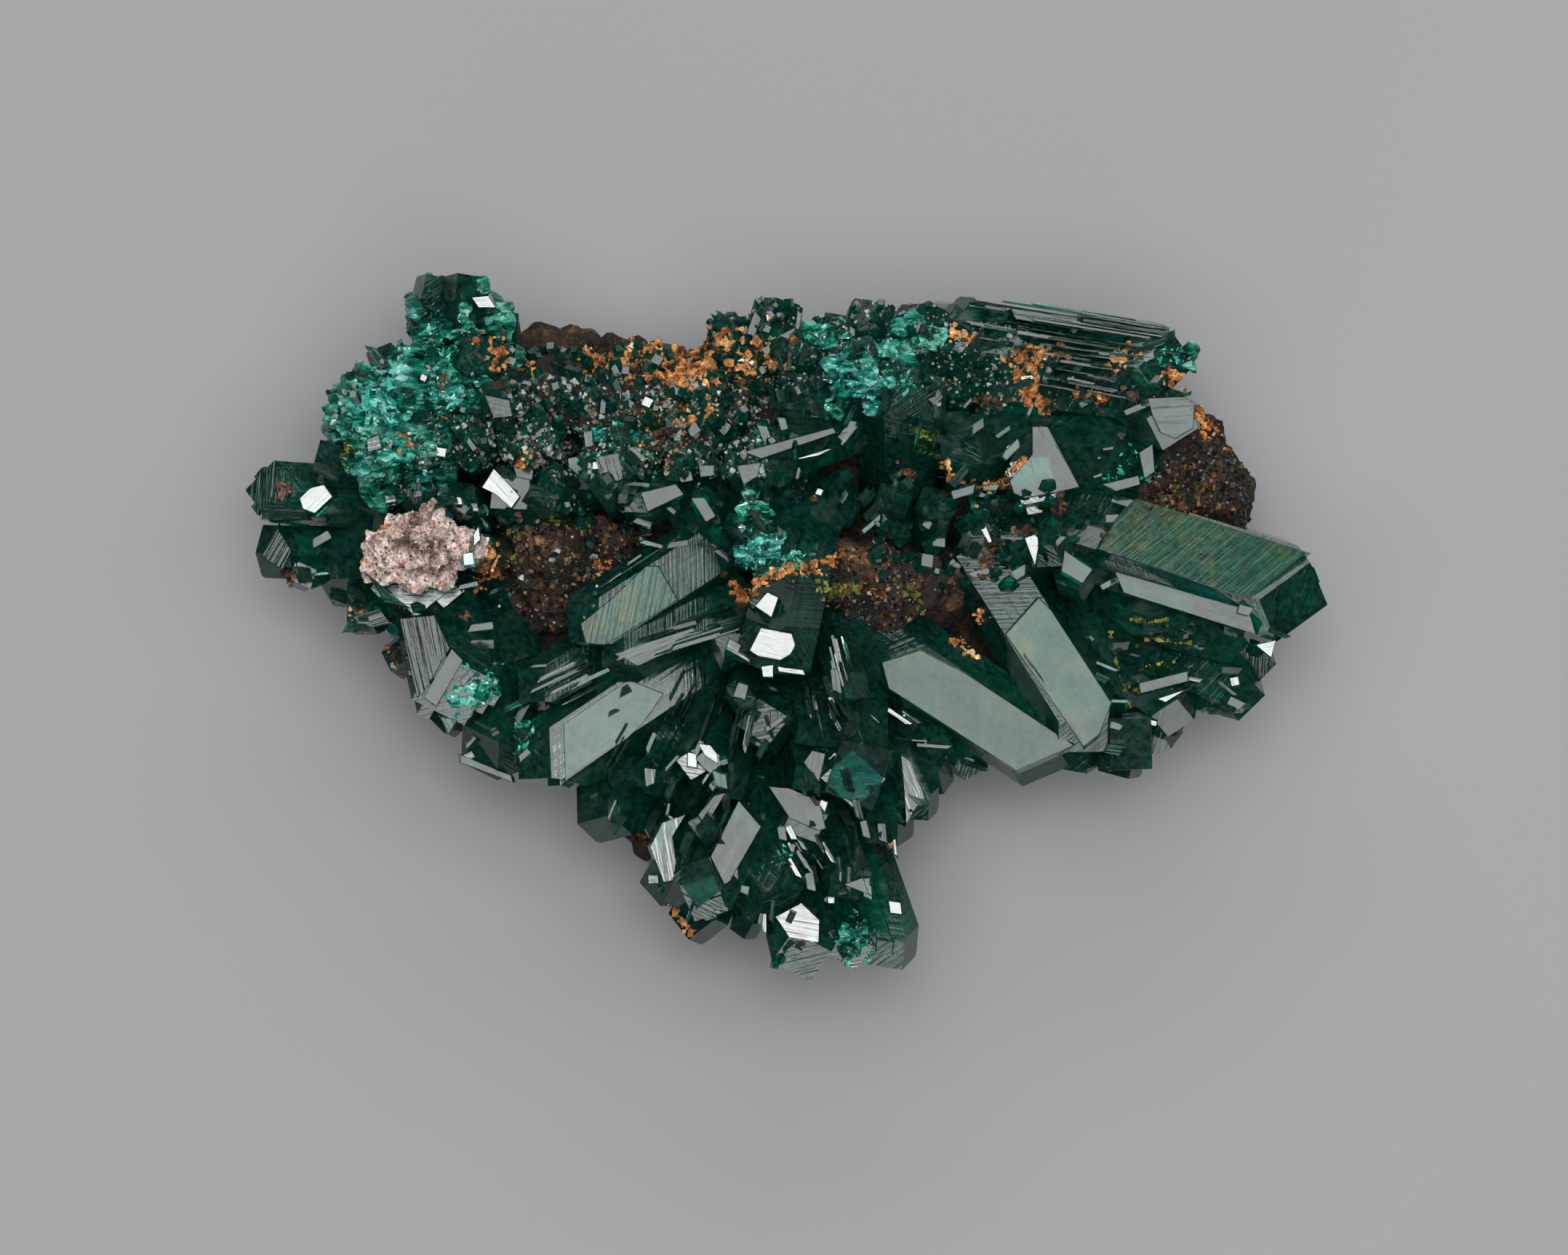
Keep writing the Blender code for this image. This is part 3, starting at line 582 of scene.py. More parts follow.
def etched(name, dark, middle, light, clear):
    """Dioptase that lets light through but scatters it, in patches, with its shards' glints painted."""
    made, tree, shader = material(name)
    where = node(tree, "ShaderNodeTexCoord").outputs["Object"]
    turned = node(
        tree, "ShaderNodeMapping",
        [("Vector", where), ("Rotation", (0.3, 0.2, -0.7)), ("Scale", (0.8, 2.2, 1.2))]
    )
    patch = node(
        tree, "ShaderNodeTexNoise",
        [("Vector", turned), ("Scale", 260.0), ("Detail", 9.0), ("Roughness", 0.72)]
    )
    shards = node(tree, "ShaderNodeTexVoronoi", [("Vector", turned), ("Scale", 1900.0)])
    # Each shard a little lighter or darker: painted glints and painted shade of its face.
    shade = node(
        tree, "ShaderNodeMapRange",
        [("Value", shards.outputs["Color"]), ("To Min", -0.09), ("To Max", 0.09)]
    )
    tone = node(tree, "ShaderNodeMath", [(0, patch), (1, shade)], operation="ADD")
    # The ramp's light end, near-white teal, is a painted glint.
    ramp = node(tree, "ShaderNodeValToRGB", [("Fac", tone)])
    stops = ramp.color_ramp.elements
    stops.new(0.5)
    for stop, (at, text) in zip(stops, ((0.40, dark), (0.51, middle), (0.65, light))):
        stop.position = at
        stop.color = colour(text)
    tree.links.new(ramp.outputs[0], shader.inputs["Base Color"])
    tilt = node(
        tree, "ShaderNodeVectorMath", [(0, shards.outputs["Color"]), (1, (0.5, 0.5, 0.5))],
        operation="SUBTRACT"
    )
    offset = node(
        tree, "ShaderNodeVectorMath", [(0, turned), (1, shards.outputs["Position"])], operation="SUBTRACT"
    )
    plane = node(tree, "ShaderNodeVectorMath", [(0, tilt), (1, offset)], operation="DOT_PRODUCT")
    bump = node(
        tree, "ShaderNodeBump", [("Height", plane.outputs["Value"]), ("Strength", 1.0), ("Distance", 1.8)]
    )
    tree.links.new(bump.outputs[0], shader.inputs["Normal"])
    shader.inputs["Roughness"].default_value = 0.1
    shader.inputs["IOR"].default_value = CRYSTAL_IOR
    shader.inputs["Transmission Weight"].default_value = clear
    return made


# Both near-white teal light colours are painted glints: of the etched shards on the dome, and of the cracks
# inside the crystals for the bodies below.
dioptase_etched = etched("etched dioptase with painted glints", "062A22", "159079", "A0FFEC", 0.3)
dioptase_crack_glints = etched("dioptase with painted crack glints", "073A2F", "1B9C84", "9CFFEC", 0.3)
DOME_VOXEL = 0.2
dome_skin = melted("dome", DOME_LUMPS, DOME_VOXEL)
roughened(dome_skin, ((1.2, 2.2), (0.8, 1.0), (0.5, 0.5)))
dome = mesh_object("etched_dome", dome_skin)
dome.data.materials.append(dioptase_etched)
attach(dome, "root")

# Faces that catch the light
# Heads, steps and broken ends of the same dioptase that stand out of the clusters. Each has a flat
# top with the outline given in millimetres, set just above what lies under it; its sides widen
# downward. The lean is the slope of the top along X and Y.
WHITE = (-0.02, -0.07)
PALE = (-0.12, -0.14)
GREY = (0.16, -0.12)
DIM = (0.02, 0.26)
FACES = (
    (((-17.9, 18.8), (-16.9, 18.9), (-16.5, 18.2), (-17.5, 18.2)), WHITE, 1.4, 1.3),
    (((-24, 16), (-23.4, 15.9), (-22.5, 14.9), (-23.1, 14.7)), DIM, 1.2, 1.2),
    (((-17, 13.1), (-15.6, 12.8), (-15.4, 11.9), (-16.5, 11.8)), GREY, 1.6, 1.2),
    (((-23.8, 10.6), (-23.1, 10.9), (-22.9, 10.1), (-23.7, 9.9)), PALE, 1, 1.3),
    (
        ((-27.8, 7.3), (-27.2, 7.9), (-26.4, 8.1), (-25.9, 7.4), (-26.9, 6.45), (-27.6, 6.7)), WHITE, 1.2,
        1.3
    ),
    (((-30, 6.1), (-29.9, 7.1), (-27.7, 6.9), (-27.3, 6.1)), DIM, 1.2, 1.15),
    (((-29.1, 5.6), (-28.3, 4.3), (-28.8, 3.2), (-30, 4)), GREY, 1.8, 1.3),
    (((-28, 3.4), (-27.2, 3.3), (-27, 2.5), (-27.8, 2.4)), DIM, 1.2, 1.2),
    (((-17.3, 7.9), (-16.6, 9), (-15.1, 7.4), (-15.6, 6.7), (-16.5, 7.5)), WHITE, 1.6, 1.3),
    (((-15.5, 9.2), (-14.3, 9), (-14.4, 8.3), (-15.3, 8.5)), GREY, 1.4, 1.2),
    (((-14.5, 8.1), (-13.4, 7.9), (-13.4, 7), (-14.4, 7.2)), DIM, 1.4, 1.2),
    (((-18.3, 4.1), (-17.7, 4.2), (-17.6, 3.5), (-18.2, 3.4)), WHITE, 0.8, 1.3),
    (((-17.7, 5.2), (-17.7, 4.5), (-17.3, 4.9), (-17.4, 5.7)), WHITE, 0.8, 1.3),
    (((-19.8, 7.6), (-19.2, 7.6), (-19.1, 7.2), (-19.7, 7.1)), PALE, 0.8, 1.3),
    (((-18.9, 7.4), (-18.4, 7.3), (-18.3, 6.9), (-18.9, 6.9)), WHITE, 0.8, 1.3),
    (((-18.1, 7), (-17.5, 7), (-17.4, 6.5), (-18.1, 6.5)), PALE, 0.8, 1.3),
    (((-22.9, 7.5), (-22.3, 7.5), (-22.2, 7.1), (-22.8, 7)), PALE, 0.8, 1.3),
    (((-21.3, 7.8), (-20.7, 7.8), (-20.7, 7.4), (-21.2, 7.3)), GREY, 0.8, 1.3),
    (((-24.9, 0.5), (-23.3, 1), (-22.7, 0.2), (-23.9, -0.1)), GREY, 1, 1.2),
    (((-23.9, 3.1), (-22.6, 1.9), (-21.5, 1.1), (-22.8, 1.4)), DIM, 1, 1.2),
    (((-22, 0.4), (-20, 0.6), (-19.1, -1.3), (-20.7, -4), (-21, -4)), GREY, 2, 1.12),
    (((-19, -1.3), (-18.35, -2), (-19.85, -4.6), (-20.6, -4.1)), PALE, 1.6, 1.1),
    (((-19.7, -5.2), (-18.7, -5.4), (-19.2, -6.2)), GREY, 0.8, 1.2),
    (((-18.7, -7.4), (-15.7, -8.6), (-15.6, -9), (-18.6, -7.9)), GREY, 0.8, 1.1),
    (((-11.5, 11.1), (-11, 11.2), (-10.9, 10.3), (-11.4, 10.2)), PALE, 1, 1.3),
    (((-10, 11.5), (-8.9, 11.3), (-8.6, 10.4), (-9.7, 10.4)), DIM, 1.4, 1.3),
    (((-10.8, 9.6), (-9.4, 9.9), (-9.2, 8.4), (-10.3, 8)), GREY, 1.4, 1.2),
    (((-8.2, 7.6), (-6.2, 8.1), (-5.7, 7.5), (-7.8, 6.5)), PALE, 1.4, 1.2),
    (((-6.1, 8.8), (-5.3, 8.8), (-5.2, 8.3), (-5.9, 8.2)), PALE, 1, 1.2),
    (((-4.9, 9.2), (-4, 9.2), (-4, 8.6), (-4.8, 8.5)), GREY, 1, 1.2),
    (((-8.4, 5.7), (-7.7, 5.7), (-7.6, 5.2), (-8.3, 5.1)), PALE, 1, 1.2),
    (((-2.3, 9.9), (2.8, 11.3), (3, 11), (-1.3, 9.5)), PALE, 1.6, 1.08),
    (((0, 9.3), (1.9, 9.9), (3, 10.2), (2, 9.7)), WHITE, 0.8, 1.1),
    (((-2.7, 9.1), (-1.3, 9.3), (-1.5, 8.5), (-2.3, 8)), PALE, 1.2, 1.2),
    (
        (
            (-1.3, -0.1), (0.45, -0.45), (0.65, -1.1), (0.4, -1.6), (-0.2, -1.95), (-1.5, -1.7),
            (-1.95, -1.4)
        ),
        WHITE, 3, 1.75
    ),
    (((-0.95, 1.9), (-0.3, 1.6), (-0.7, 0.45), (-1.65, 1.1)), WHITE, 2, 1.2),
    (((-3.1, -0.7), (-2.1, -1.3), (-1.9, -2.1), (-3.3, -1.3)), PALE, 2, 1.2),
    (((-1.3, -2.3), (-0.6, -2.2), (-0.6, -2.9), (-1.2, -2.9)), WHITE, 1.2, 1.2),
    (((-0.4, -2.3), (1.1, -2.5), (1.2, -2.8), (-0.3, -2.6)), WHITE, 1, 1.2),
    (((-2.6, -3.2), (-2, -3.4), (-2.2, -4.2), (-2.9, -4)), PALE, 1.2, 1.3),
    (((-1.1, -5.8), (-0.1, -5.1), (0, -5.4), (-1, -6.1)), PALE, 1, 1.2),
    (((-5.5, -7.2), (-4.95, -7.3), (-4.95, -8.1), (-5.5, -8)), WHITE, 1.2, 1.3),
    (((-4.9, -6.7), (-4.2, -6.8), (-3.8, -7.3), (-3.75, -7.9), (-4.5, -7.4)), WHITE, 1.2, 1.3),
    (((-8, -8.1), (-7.3, -8.2), (-7.4, -9), (-7.9, -9.2)), PALE, 1, 1.3),
    (((-4.1, -8.2), (-3.3, -8.5), (-3.2, -9.3), (-3.9, -9.1)), GREY, 1.2, 1.3),
    (((1.6, -7.1), (2.4, -7.3), (2, -8.9), (1.1, -7.8)), GREY, 1.2, 1.2),
    (((3.3, -6.5), (6.2, -7.1), (5, -10.5), (2.3, -9.4)), DIM, 2, 1.1),
    (((-0.9, -9.2), (0.3, -9.3), (2, -10), (2.4, -11.6), (1.9, -11.7), (0.3, -11)), GREY, 1.4, 1.15),
    (
        ((20.8, 13), (22.9, 13.1), (23.5, 12.7), (23.4, 11.3), (22.4, 10.7), (21.5, 11.1), (21, 12.2)),
        PALE, 2.2, 1.2
    ),
    (((19.4, 12.3), (21, 13), (21, 12.6), (19.6, 12)), PALE, 1, 1.1),
    (
        (
            (14.2, 11.4), (15.1, 11.4), (16.9, 7.95), (15, 7.5), (13.8, 7.3), (13.1, 7.6), (12.9, 8.3),
            (14.2, 9.8)
        ),
        PALE, 2.4, 1.15
    ),
    (((13.7, 5), (14.3, 5.2), (14.6, 4.9), (14.3, 3.4)), WHITE, 1.2, 1.3),
    (((11.1, 5.7), (11.5, 5.8), (11.9, 4.8), (11.7, 4.7)), WHITE, 1, 1.2),
    (((16, 4.3), (17.6, 3.2), (17, 2.4), (15.8, 3.1)), GREY, 1.2, 1.2),
    (((27, -1.1), (28.2, -0.8), (27.9, -1.85)), WHITE, 1, 1.1),
    (((25.6, -3), (26.1, -2.9), (26.2, -3.4), (25.7, -3.5)), WHITE, 0.8, 1.2),
    (((20.4, -3.3), (23.2, -2.6), (23.2, -3.2), (20.5, -3.9)), GREY, 0.8, 1.1),
    (((21.4, -4.2), (23.2, -3.6), (21.9, -4.4)), WHITE, 0.8, 1.1),
    (((18.6, -5.3), (21, -5.4), (21.1, -8.2), (18.7, -8.3)), DIM, 2.4, 1.1),
    (((20, -5.1), (21.5, -5.5), (21.4, -5.8), (20, -5.4)), WHITE, 0.6, 1.1),
    (((-0.5, -16.7), (1, -15.9), (2.05, -16.9), (2, -18.2), (0.3, -17.9)), WHITE, 1.8, 1.2),
    (((6, -15.8), (6.7, -15.9), (6.8, -16.6), (6.1, -16.5)), WHITE, 1, 1.3),
    (((3.4, -14.8), (4.5, -14.4), (4.9, -15.4)), GREY, 1, 1.2),
    (((2.5, -15.5), (2.9, -15.5), (2.9, -15.9), (2.5, -15.9)), WHITE, 0.8, 1.2),
    (((-2.6, -10), (-1.3, -11.5), (-3.1, -14.6), (-3.4, -14.8), (-4.2, -13.2)), PALE, 1.6, 1.15),
    (((-5.8, -13.8), (-4.3, -13.2), (-3.5, -15), (-5, -16.2), (-5.8, -14.8)), DIM, 1.6, 1.15),
    (
        ((-7, -11.3), (-5.6, -10.8), (-6.4, -12.1), (-6, -14.5), (-6.9, -14.7), (-7.7, -12.7)), PALE, 1.6,
        1.15
    ),
    (((-4.9, -10.8), (-4, -9.7), (-3.3, -9.5), (-4.5, -11.5)), GREY, 1.2, 1.2),
    (((-7.8, -14.3), (-7.2, -14.3), (-7.2, -14.8), (-7.8, -14.8)), PALE, 0.8, 1.3),
    (((18.9, 3.1), (26.6, 0.9), (27, -0.5), (19.4, 1.9)), PALE, 1, 1.04),
    (((20.3, 9.9), (21.1, 10.4), (21.2, 8.8), (20.6, 8.4)), PALE, 1, 1.1),
    (((18.2, 8.1), (20.3, 8.6), (20.4, 8.1), (19, 7.7)), GREY, 1, 1.1),
    (((6.7, -7.4), (7.3, -7.8), (8.1, -9.9), (7.6, -10.4), (7, -11.4), (6.9, -9.5)), PALE, 1.2, 1.1),
)

LOWEST_CHIP = 7  # height in millimetres
EDGE_BEVEL = 0.03
SAMPLES = (0.0, 0.35, 0.65, 0.92)  # shares of the way from the middle of a face to its rim

# Small steps and chips: corner, corner, how many.
CHIP_PATCHES = (
    ((-10, -12), (9, -2.5), 55),
    ((-8.5, -18.5), (7, -10), 40),
    ((-29, -8), (-14, 9), 45),
    ((4, 2), (21, 13), 50),
    ((17, -8), (28.5, 1), 35),
    ((-9, 4), (6, 12), 45),
    ((9, 12.5), (23, 17.5), 30),
    ((-5, 12), (9, 18.5), 60),
)
# The broad faces: outline, lean, direction of their striations, and whether their skin is cloudy.
BROAD_FACES = (
    (
        ((5.6, -2.1), (7.8, -1.4), (10.5, -2.8), (16.6, -6.85), (13.3, -8.3), (6, -3.6)), (0.12, 0.13),
        (0.1, 1), 1
    ),
    (
        ((14.6, 1.6), (15.3, 0.9), (18.7, -4.4), (18, -6.2), (17.1, -6.9), (12.7, -0.5)), (0.14, -0.2),
        (0.5, -1), 1
    ),
    (((19.8, 7.2), (20.3, 7.3), (29.9, 4.2), (26.6, 1.5), (18, 4.4)), (0.05, -0.285), (0.77, 0.63), 1),
    (
        (
            (-11.6, 0.1), (-10, 1.4), (-7.9, 3.4), (-7.2, 3.4), (-6.1, 1.5), (-6.6, 1.1), (-10.2, -1.1),
            (-11.3, -1)
        ),
        (-0.29, -0.05), (0.2, 1), 1
    ),
    (
        ((-12.6, -5.6), (-8.9, -3.1), (-6.9, -3.9), (-8, -5.5), (-8.9, -6.4), (-12.5, -8.9)),
        (-0.16, -0.14), (0.05, 1), 0
    ),
    (((-9.7, -1.6), (-8.3, -2.3), (-3.6, -0.1), (-5.9, -0.5)), (-0.12, -0.2), (0.9, 0.45), 0),
    (((13, 18.2), (13.2, 17.7), (20.4, 16.6), (20.2, 17.2)), (-0.04, -0.2), (1, -0.16), 0),
)


def tree_of(shapes):
    """A tree of all faces of some finished pieces, and the piece that each face belongs to."""
    points, faces, owners = [], [], []
    for shape in shapes:
        first = len(points)
        points += [vert.co.copy() for vert in shape.data.vertices]
        faces += [[first + i for i in face.vertices] for face in shape.data.polygons]
        owners += [shape] * len(shape.data.polygons)
    return BVHTree.FromPolygons(points, faces), owners


def under(surfaces, x, y):
    """Point, normal and piece of the surface under a spot given in millimetres, or None."""
    tree, owners = surfaces
    hit, normal, index, far = tree.ray_cast(Vector((x, y, 60)) * MM, Vector((0, 0, -1)))
    return (hit / MM, normal, owners[index]) if hit else None


def block(bm, surfaces, outline, lean, depth, flare, lift=0.12, along=None):
    """A faceted block with a leaning flat top just above the surface under it. Millimetres."""
    slanted = bm.loops.layers.uv["slanted"]
    lengthwise = bm.loops.layers.uv["lengthwise"]
    middle = Vector((sum(x for x, y in outline), sum(y for x, y in outline))) / len(outline)
    height = 0.0
    for corner in range(len(outline)):
        for share in SAMPLES:
            for rim in (outline[corner], (Vector(outline[corner]) + Vector(outline[corner - 1])) / 2):
                x, y = middle.lerp(Vector(rim), share)
                found = under(surfaces, x, y)
                if found is not None:
                    rise = lean[0] * (x - middle.x) + lean[1] * (y - middle.y)
                    height = max(height, found[0].z - rise)
    if height == 0.0:
        return
    top, foot = [], []
    for x, y in outline:
        z = height + lift + lean[0] * (x - middle.x) + lean[1] * (y - middle.y)
        wide = middle + (Vector((x, y)) - middle) * flare
        top.append(bm.verts.new((x * MM, y * MM, z * MM)))
        foot.append(bm.verts.new((wide.x * MM, wide.y * MM, (z - depth) * MM)))
    faces = [bm.faces.new(top), bm.faces.new(foot[::-1])]
    for i in range(len(top)):
        j = (i + 1) % len(top)
        faces.append(bm.faces.new((top[j], top[i], foot[i], foot[j])))
    sides = [Vector(outline[i]) - Vector(outline[i - 1]) for i in range(len(outline))]
    along = Vector(along or max(sides, key=lambda side: side.length)).normalized()
    for face in faces:
        for loop in face.loops:
            spot = Vector((loop.vert.co.x, loop.vert.co.y)) / MM
            run, wide = spot.dot(along), spot.x * along.y - spot.y * along.x
            loop[slanted].uv = (wide, run)
            loop[lengthwise].uv = (wide, run)


bases = tree_of((left_crystals, center_crystals, right_crystals, tail_crystals, rock, lump, dome))
chance = random.Random(3)
bm = bmesh.new()
bm.loops.layers.uv.new("slanted")
bm.loops.layers.uv.new("lengthwise")
for outline, lean, depth, flare in FACES:
    block(bm, bases, outline, lean, depth, flare)
for low, high, number in CHIP_PATCHES:
    for one in range(number):
        x, y = chance.uniform(low[0], high[0]), chance.uniform(low[1], high[1])
        found = under(bases, x, y)
        if found is None or found[0].z < LOWEST_CHIP or found[2] in (rock, lump):
            continue
        long, wide = chance.uniform(0.25, 0.8), chance.uniform(0.08, 0.26)
        turn = math.atan2(y - 3, x) + chance.gauss(0, 0.3)
        run = Vector((math.cos(turn), math.sin(turn))) * long
        side = Vector((-run.y, run.x)).normalized() * wide
        middle = Vector((x, y))
        corners = [middle + run + side, middle + run * 0.6 - side, middle - run - side, middle - run + side]
        lean = (chance.gauss(0, 0.32), chance.gauss(-0.05, 0.32))
        block(bm, bases, [tuple(corner) for corner in corners], lean, 0.6, 1.15, 0.03)
for outline, lean, along, cloudy in BROAD_FACES:
    first = len(bm.faces)
    block(bm, bases, outline, lean, 1.0, 1.05, 0.04, along)
    bm.faces.ensure_lookup_table()
    for i in range(first, len(bm.faces)):
        bm.faces[i].material_index = cloudy
bmesh.ops.recalc_face_normals(bm, faces=bm.faces)
bmesh.ops.bevel(
    bm, geom=bm.edges[:], offset=EDGE_BEVEL * MM, segments=1, profile=0.5, affect="EDGES", material=-1
)
bright_faces = mesh_object("bright_faces", bm)
# Painted sheen: these faces take the paler copy of the dioptase, besides the reflections their leans give.
bright_faces.data.materials.append(dioptase_face_painted_sheen)
bright_faces.data.materials.append(dioptase_cloudy)
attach(bright_faces, "root")

# Cracked bodies with painted reflections
# Places where cracks inside the dioptase light up, with the light painted in: crumpled lumps sunk
# into the crystals, whose near-white teal is painted reflection from the cracks.
# Rows: place along X and Y, half sizes in millimetres.
CRACK_GLINT_BODIES = (
    ((-0.7, 4.1), (2.1, 1, 1.2)),
    ((0.9, 4), (0.9, 0.6, 0.8)),
    ((-1.7, 6.4), (0.7, 1.5, 1)),
    ((4, 14.2), (1.7, 1.4, 1.3)),
    ((6, 13.6), (1.5, 1.6, 1.3)),
    ((5.4, 15.2), (1.8, 0.9, 1)),
    ((2.4, 16.4), (1.8, 1.1, 0.9)),
    ((7.4, 16.6), (1.8, 1.2, 0.9)),
    ((2.8, 12.8), (1.2, 1.2, 1)),
    ((-9.6, 10.9), (1.3, 0.9, 1.2)),
    ((-8, 10.7), (0.9, 0.9, 1.2)),
    ((-14.8, -6.4), (0.5, 0.9, 0.7)),
    ((-17.6, -3.4), (1.3, 1, 0.8)),
    ((-18.4, -4.6), (1, 0.7, 0.7)),
    ((4.1, -18.2), (1.2, 1.2, 0.9)),
    ((22.6, 15.5), (0.9, 0.6, 0.7)),
    ((11.8, 7.2), (0.8, 0.5, 0.6)),
    ((-21.8, 9.4), (1.1, 1, 0.9)),
)
CRACKED_VOXEL = 0.13
lumps = []
for (x, y), half in CRACK_GLINT_BODIES:
    found = under(bases, x, y)
    lumps.append(((x, y, found[0].z - half[2] * 0.7), half))
cracked_skin = melted("cracked", lumps, CRACKED_VOXEL)
roughened(cracked_skin, ((0.7, 1.1), (0.5, 0.5), (0.25, 0.25)))
# Painted reflection: the lumps' light teal stands in for light thrown back by cracks.
crack_glint_bodies = mesh_object("crack_glint_bodies", cracked_skin)
crack_glint_bodies.data.materials.append(dioptase_crack_glints)
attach(crack_glint_bodies, "root")

# Stepped and streaked sides
# Bundles of thin laths of the same dioptase on the sides of the larger crystals. Each row is start
# and end in millimetres, width of the bundle, number of laths, share that is bright, and seed.
LATHS = (
    ((10.5, 18.1), (22, 16.4), 1.9, 26, 0.5, 1),
    ((11, 16.6), (22.6, 15.2), 1.3, 8, 0.1, 2),
    ((14.8, 15.5), (19.6, 14.9), 0.9, 8, 0.6, 3),
    ((14.4, 14.3), (20.4, 13.3), 1.3, 12, 0.6, 4),
    ((-2.6, 0.6), (-9.4, -1.7), 1.5, 18, 0.5, 5),
    ((-10.2, -2), (-14.2, -4.1), 2.2, 18, 0.5, 6),
    ((-7.9, 4), (-11.4, 1.3), 0.5, 3, 0.7, 7),
    ((1.4, -3.2), (2.1, -6.3), 0.8, 9, 0.6, 8),
    ((2.3, -3.6), (3.6, -6), 0.9, 9, 0.6, 9),
    ((2.8, -0.3), (3.7, -3.4), 1.3, 12, 0.5, 10),
    ((0.4, -12.2), (1.8, -14.2), 2.6, 18, 0.5, 11),
    ((6, -4.6), (8.2, -5.9), 0.7, 3, 0.4, 12),
    ((6.3, -6.7), (9.6, -6.8), 0.6, 3, 0.4, 13),
    ((9.2, -7.4), (11.8, -8.1), 0.6, 3, 0.4, 14),
    ((12.8, -1), (15.8, -5), 0.7, 4, 0.2, 15),
    ((-3.6, -3.4), (-4.6, -7), 1.2, 5, 0.2, 16),
    ((-8.6, -5.6), (-10.2, -8.8), 1, 5, 0.2, 17),
    ((-5.2, -2.4), (-7, -6.4), 1.4, 6, 0.15, 18),
    ((-1.6, -3.2), (-2.6, -8.2), 1.4, 6, 0.15, 19),
    ((-6.4, -12), (-6.6, -14.6), 0.9, 4, 0.4, 20),
    ((-2.2, -10.8), (-3.6, -14.4), 0.9, 5, 0.3, 21),
)
bm = bmesh.new()
bm.loops.layers.uv.new("slanted")
bm.loops.layers.uv.new("lengthwise")
for start, end, width, number, share, seed in LATHS:
    chance = random.Random(seed)
    start, end = Vector(start), Vector(end)
    run = (end - start).length
    way = (end - start).normalized()
    side = Vector((-way.y, way.x))
    for lath in range(number):
        middle = side * width * (chance.random() - 0.5)
        half = chance.uniform(0.04, 0.16)
        first = start + way * chance.uniform(0, 0.6) * run + middle
        last = first + way * chance.uniform(0.15, 0.6) * run
        if (last - start).dot(way) > run:
            last -= way * ((last - start).dot(way) - run)
        if (last - first).dot(way) < 0.4:
            continue
        tilt = side * chance.gauss(0, 0.06)
        if chance.random() > share:
            tilt = side * chance.choice((-0.45, 0.45))
        corners = (
            tuple(first + side * half), tuple(first - side * half * 0.4), tuple(last - side * half),
            tuple(last + way * half * 2 + side * half * 0.3)
        )
        lean = (tilt.x + PALE[0], tilt.y + PALE[1])
        block(bm, bases, corners, lean, 1.2, 1.02, chance.uniform(0.02, 0.1))
bmesh.ops.recalc_face_normals(bm, faces=bm.faces)
laths = mesh_object("stepped_sides", bm)
# Painted sheen: the laths take the paler copy of the dioptase, besides the reflections their tilts give.
laths.data.materials.append(dioptase_face_painted_sheen)
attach(laths, "root")

# Small crystals
# Tiny prisms of the same dioptase that grow on the larger crystals and on the rock. They are
# dropped onto the surface under chosen spots, and lean away from the middle.


def copies(name, templates, places):
    """One object from many copies of small meshes. places are (template, matrix, tint) rows."""
    points, faces, tints = [], [], []
    for which, matrix, tint in places:
        verts, polygons = templates[which]
        first = len(points)
        points += [matrix @ vert for vert in verts]
        faces += [[first + i for i in polygon] for polygon in polygons]
        tints += tint * len(verts)
    mesh = bpy.data.meshes.new(name)
    mesh.from_pydata([tuple(point * MM) for point in points], [], faces)
    mesh.color_attributes.new("tint", "FLOAT_COLOR", "POINT").data.foreach_set("color", tints)
    shape = bpy.data.objects.new(name, mesh)
    bpy.context.collection.objects.link(shape)
    return shape


def template(bm):
    made = [vert.co.copy() for vert in bm.verts], [[v.index for v in f.verts] for f in bm.faces]
    bm.free()
    return made


def standing(point, direction, size, spin):
    """A matrix that stands a template of unit thickness on a point."""
    turn = direction.to_track_quat("Z", "Y").to_matrix().to_4x4()
    return (Matrix.Translation(point) @ turn @ Matrix.Rotation(spin, 4, "Z") @ Matrix.Scale(size, 4))


tiny_prisms = []
for stretch in (0.5, 0.8, 1.1, 1.5):
    tiny = prism(stretch, 1.0, 0.1, -0.6, (0, 0), 1)
    tiny.verts.index_update()
    tiny_prisms.append(template(tiny))

# Where they grow: corner, corner, how many, smallest and largest thickness.
CRYSTAL_PATCHES = (
    ((-26.5, 9.5), (-17, 16), 60, 0.25, 0.55),
    ((-20, 5.5), (-9, 12), 60, 0.4, 0.9),
    ((-16, 11), (-1, 16), 260, 0.25, 0.8),
    ((-5, 13.5), (9, 18.8), 190, 0.2, 0.6),
    ((-7, 4), (4, 12), 45, 0.4, 1),
    ((5, 2), (17.5, 8), 55, 0.4, 1.1),
    ((-10, -9), (8, -3), 12, 0.5, 0.9),
    ((17, -8.5), (28.5, 0), 12, 0.4, 0.8),
    ((-9, -19.5), (7.5, -11), 12, 0.4, 0.8),
    ((-27, -5), (-20, 3), 14, 0.4, 0.9),
)
chance = random.Random(11)
grown = []
for low, high, number, thin, thick in CRYSTAL_PATCHES:
    for one in range(number):
        found = under(bases, chance.uniform(low[0], high[0]), chance.uniform(low[1], high[1]))
        if found is None or found[0].z < 8:
            continue
        point, normal, piece = found
        if point.z > 17.5 and chance.random() < 0.7:
            continue
        lean = Vector((point.x, point.y + 2, 6)).normalized()
        wild = Vector([chance.gauss(0, 0.35) for axis in range(3)])
        direction = (normal * 0.5 + lean + wild).normalized()
        size = thin + (thick - thin) * chance.random() ** 2
        grown.append(
            (
                chance.randrange(len(tiny_prisms)), standing(point, direction, size, chance.uniform(0, 6)),
                (1.0, 1.0, 1.0, 1.0)
            )
        )
small_crystals = copies("small_crystals", tiny_prisms, grown)
small_crystals.data.materials.append(dioptase_clear)
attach(small_crystals, "root")
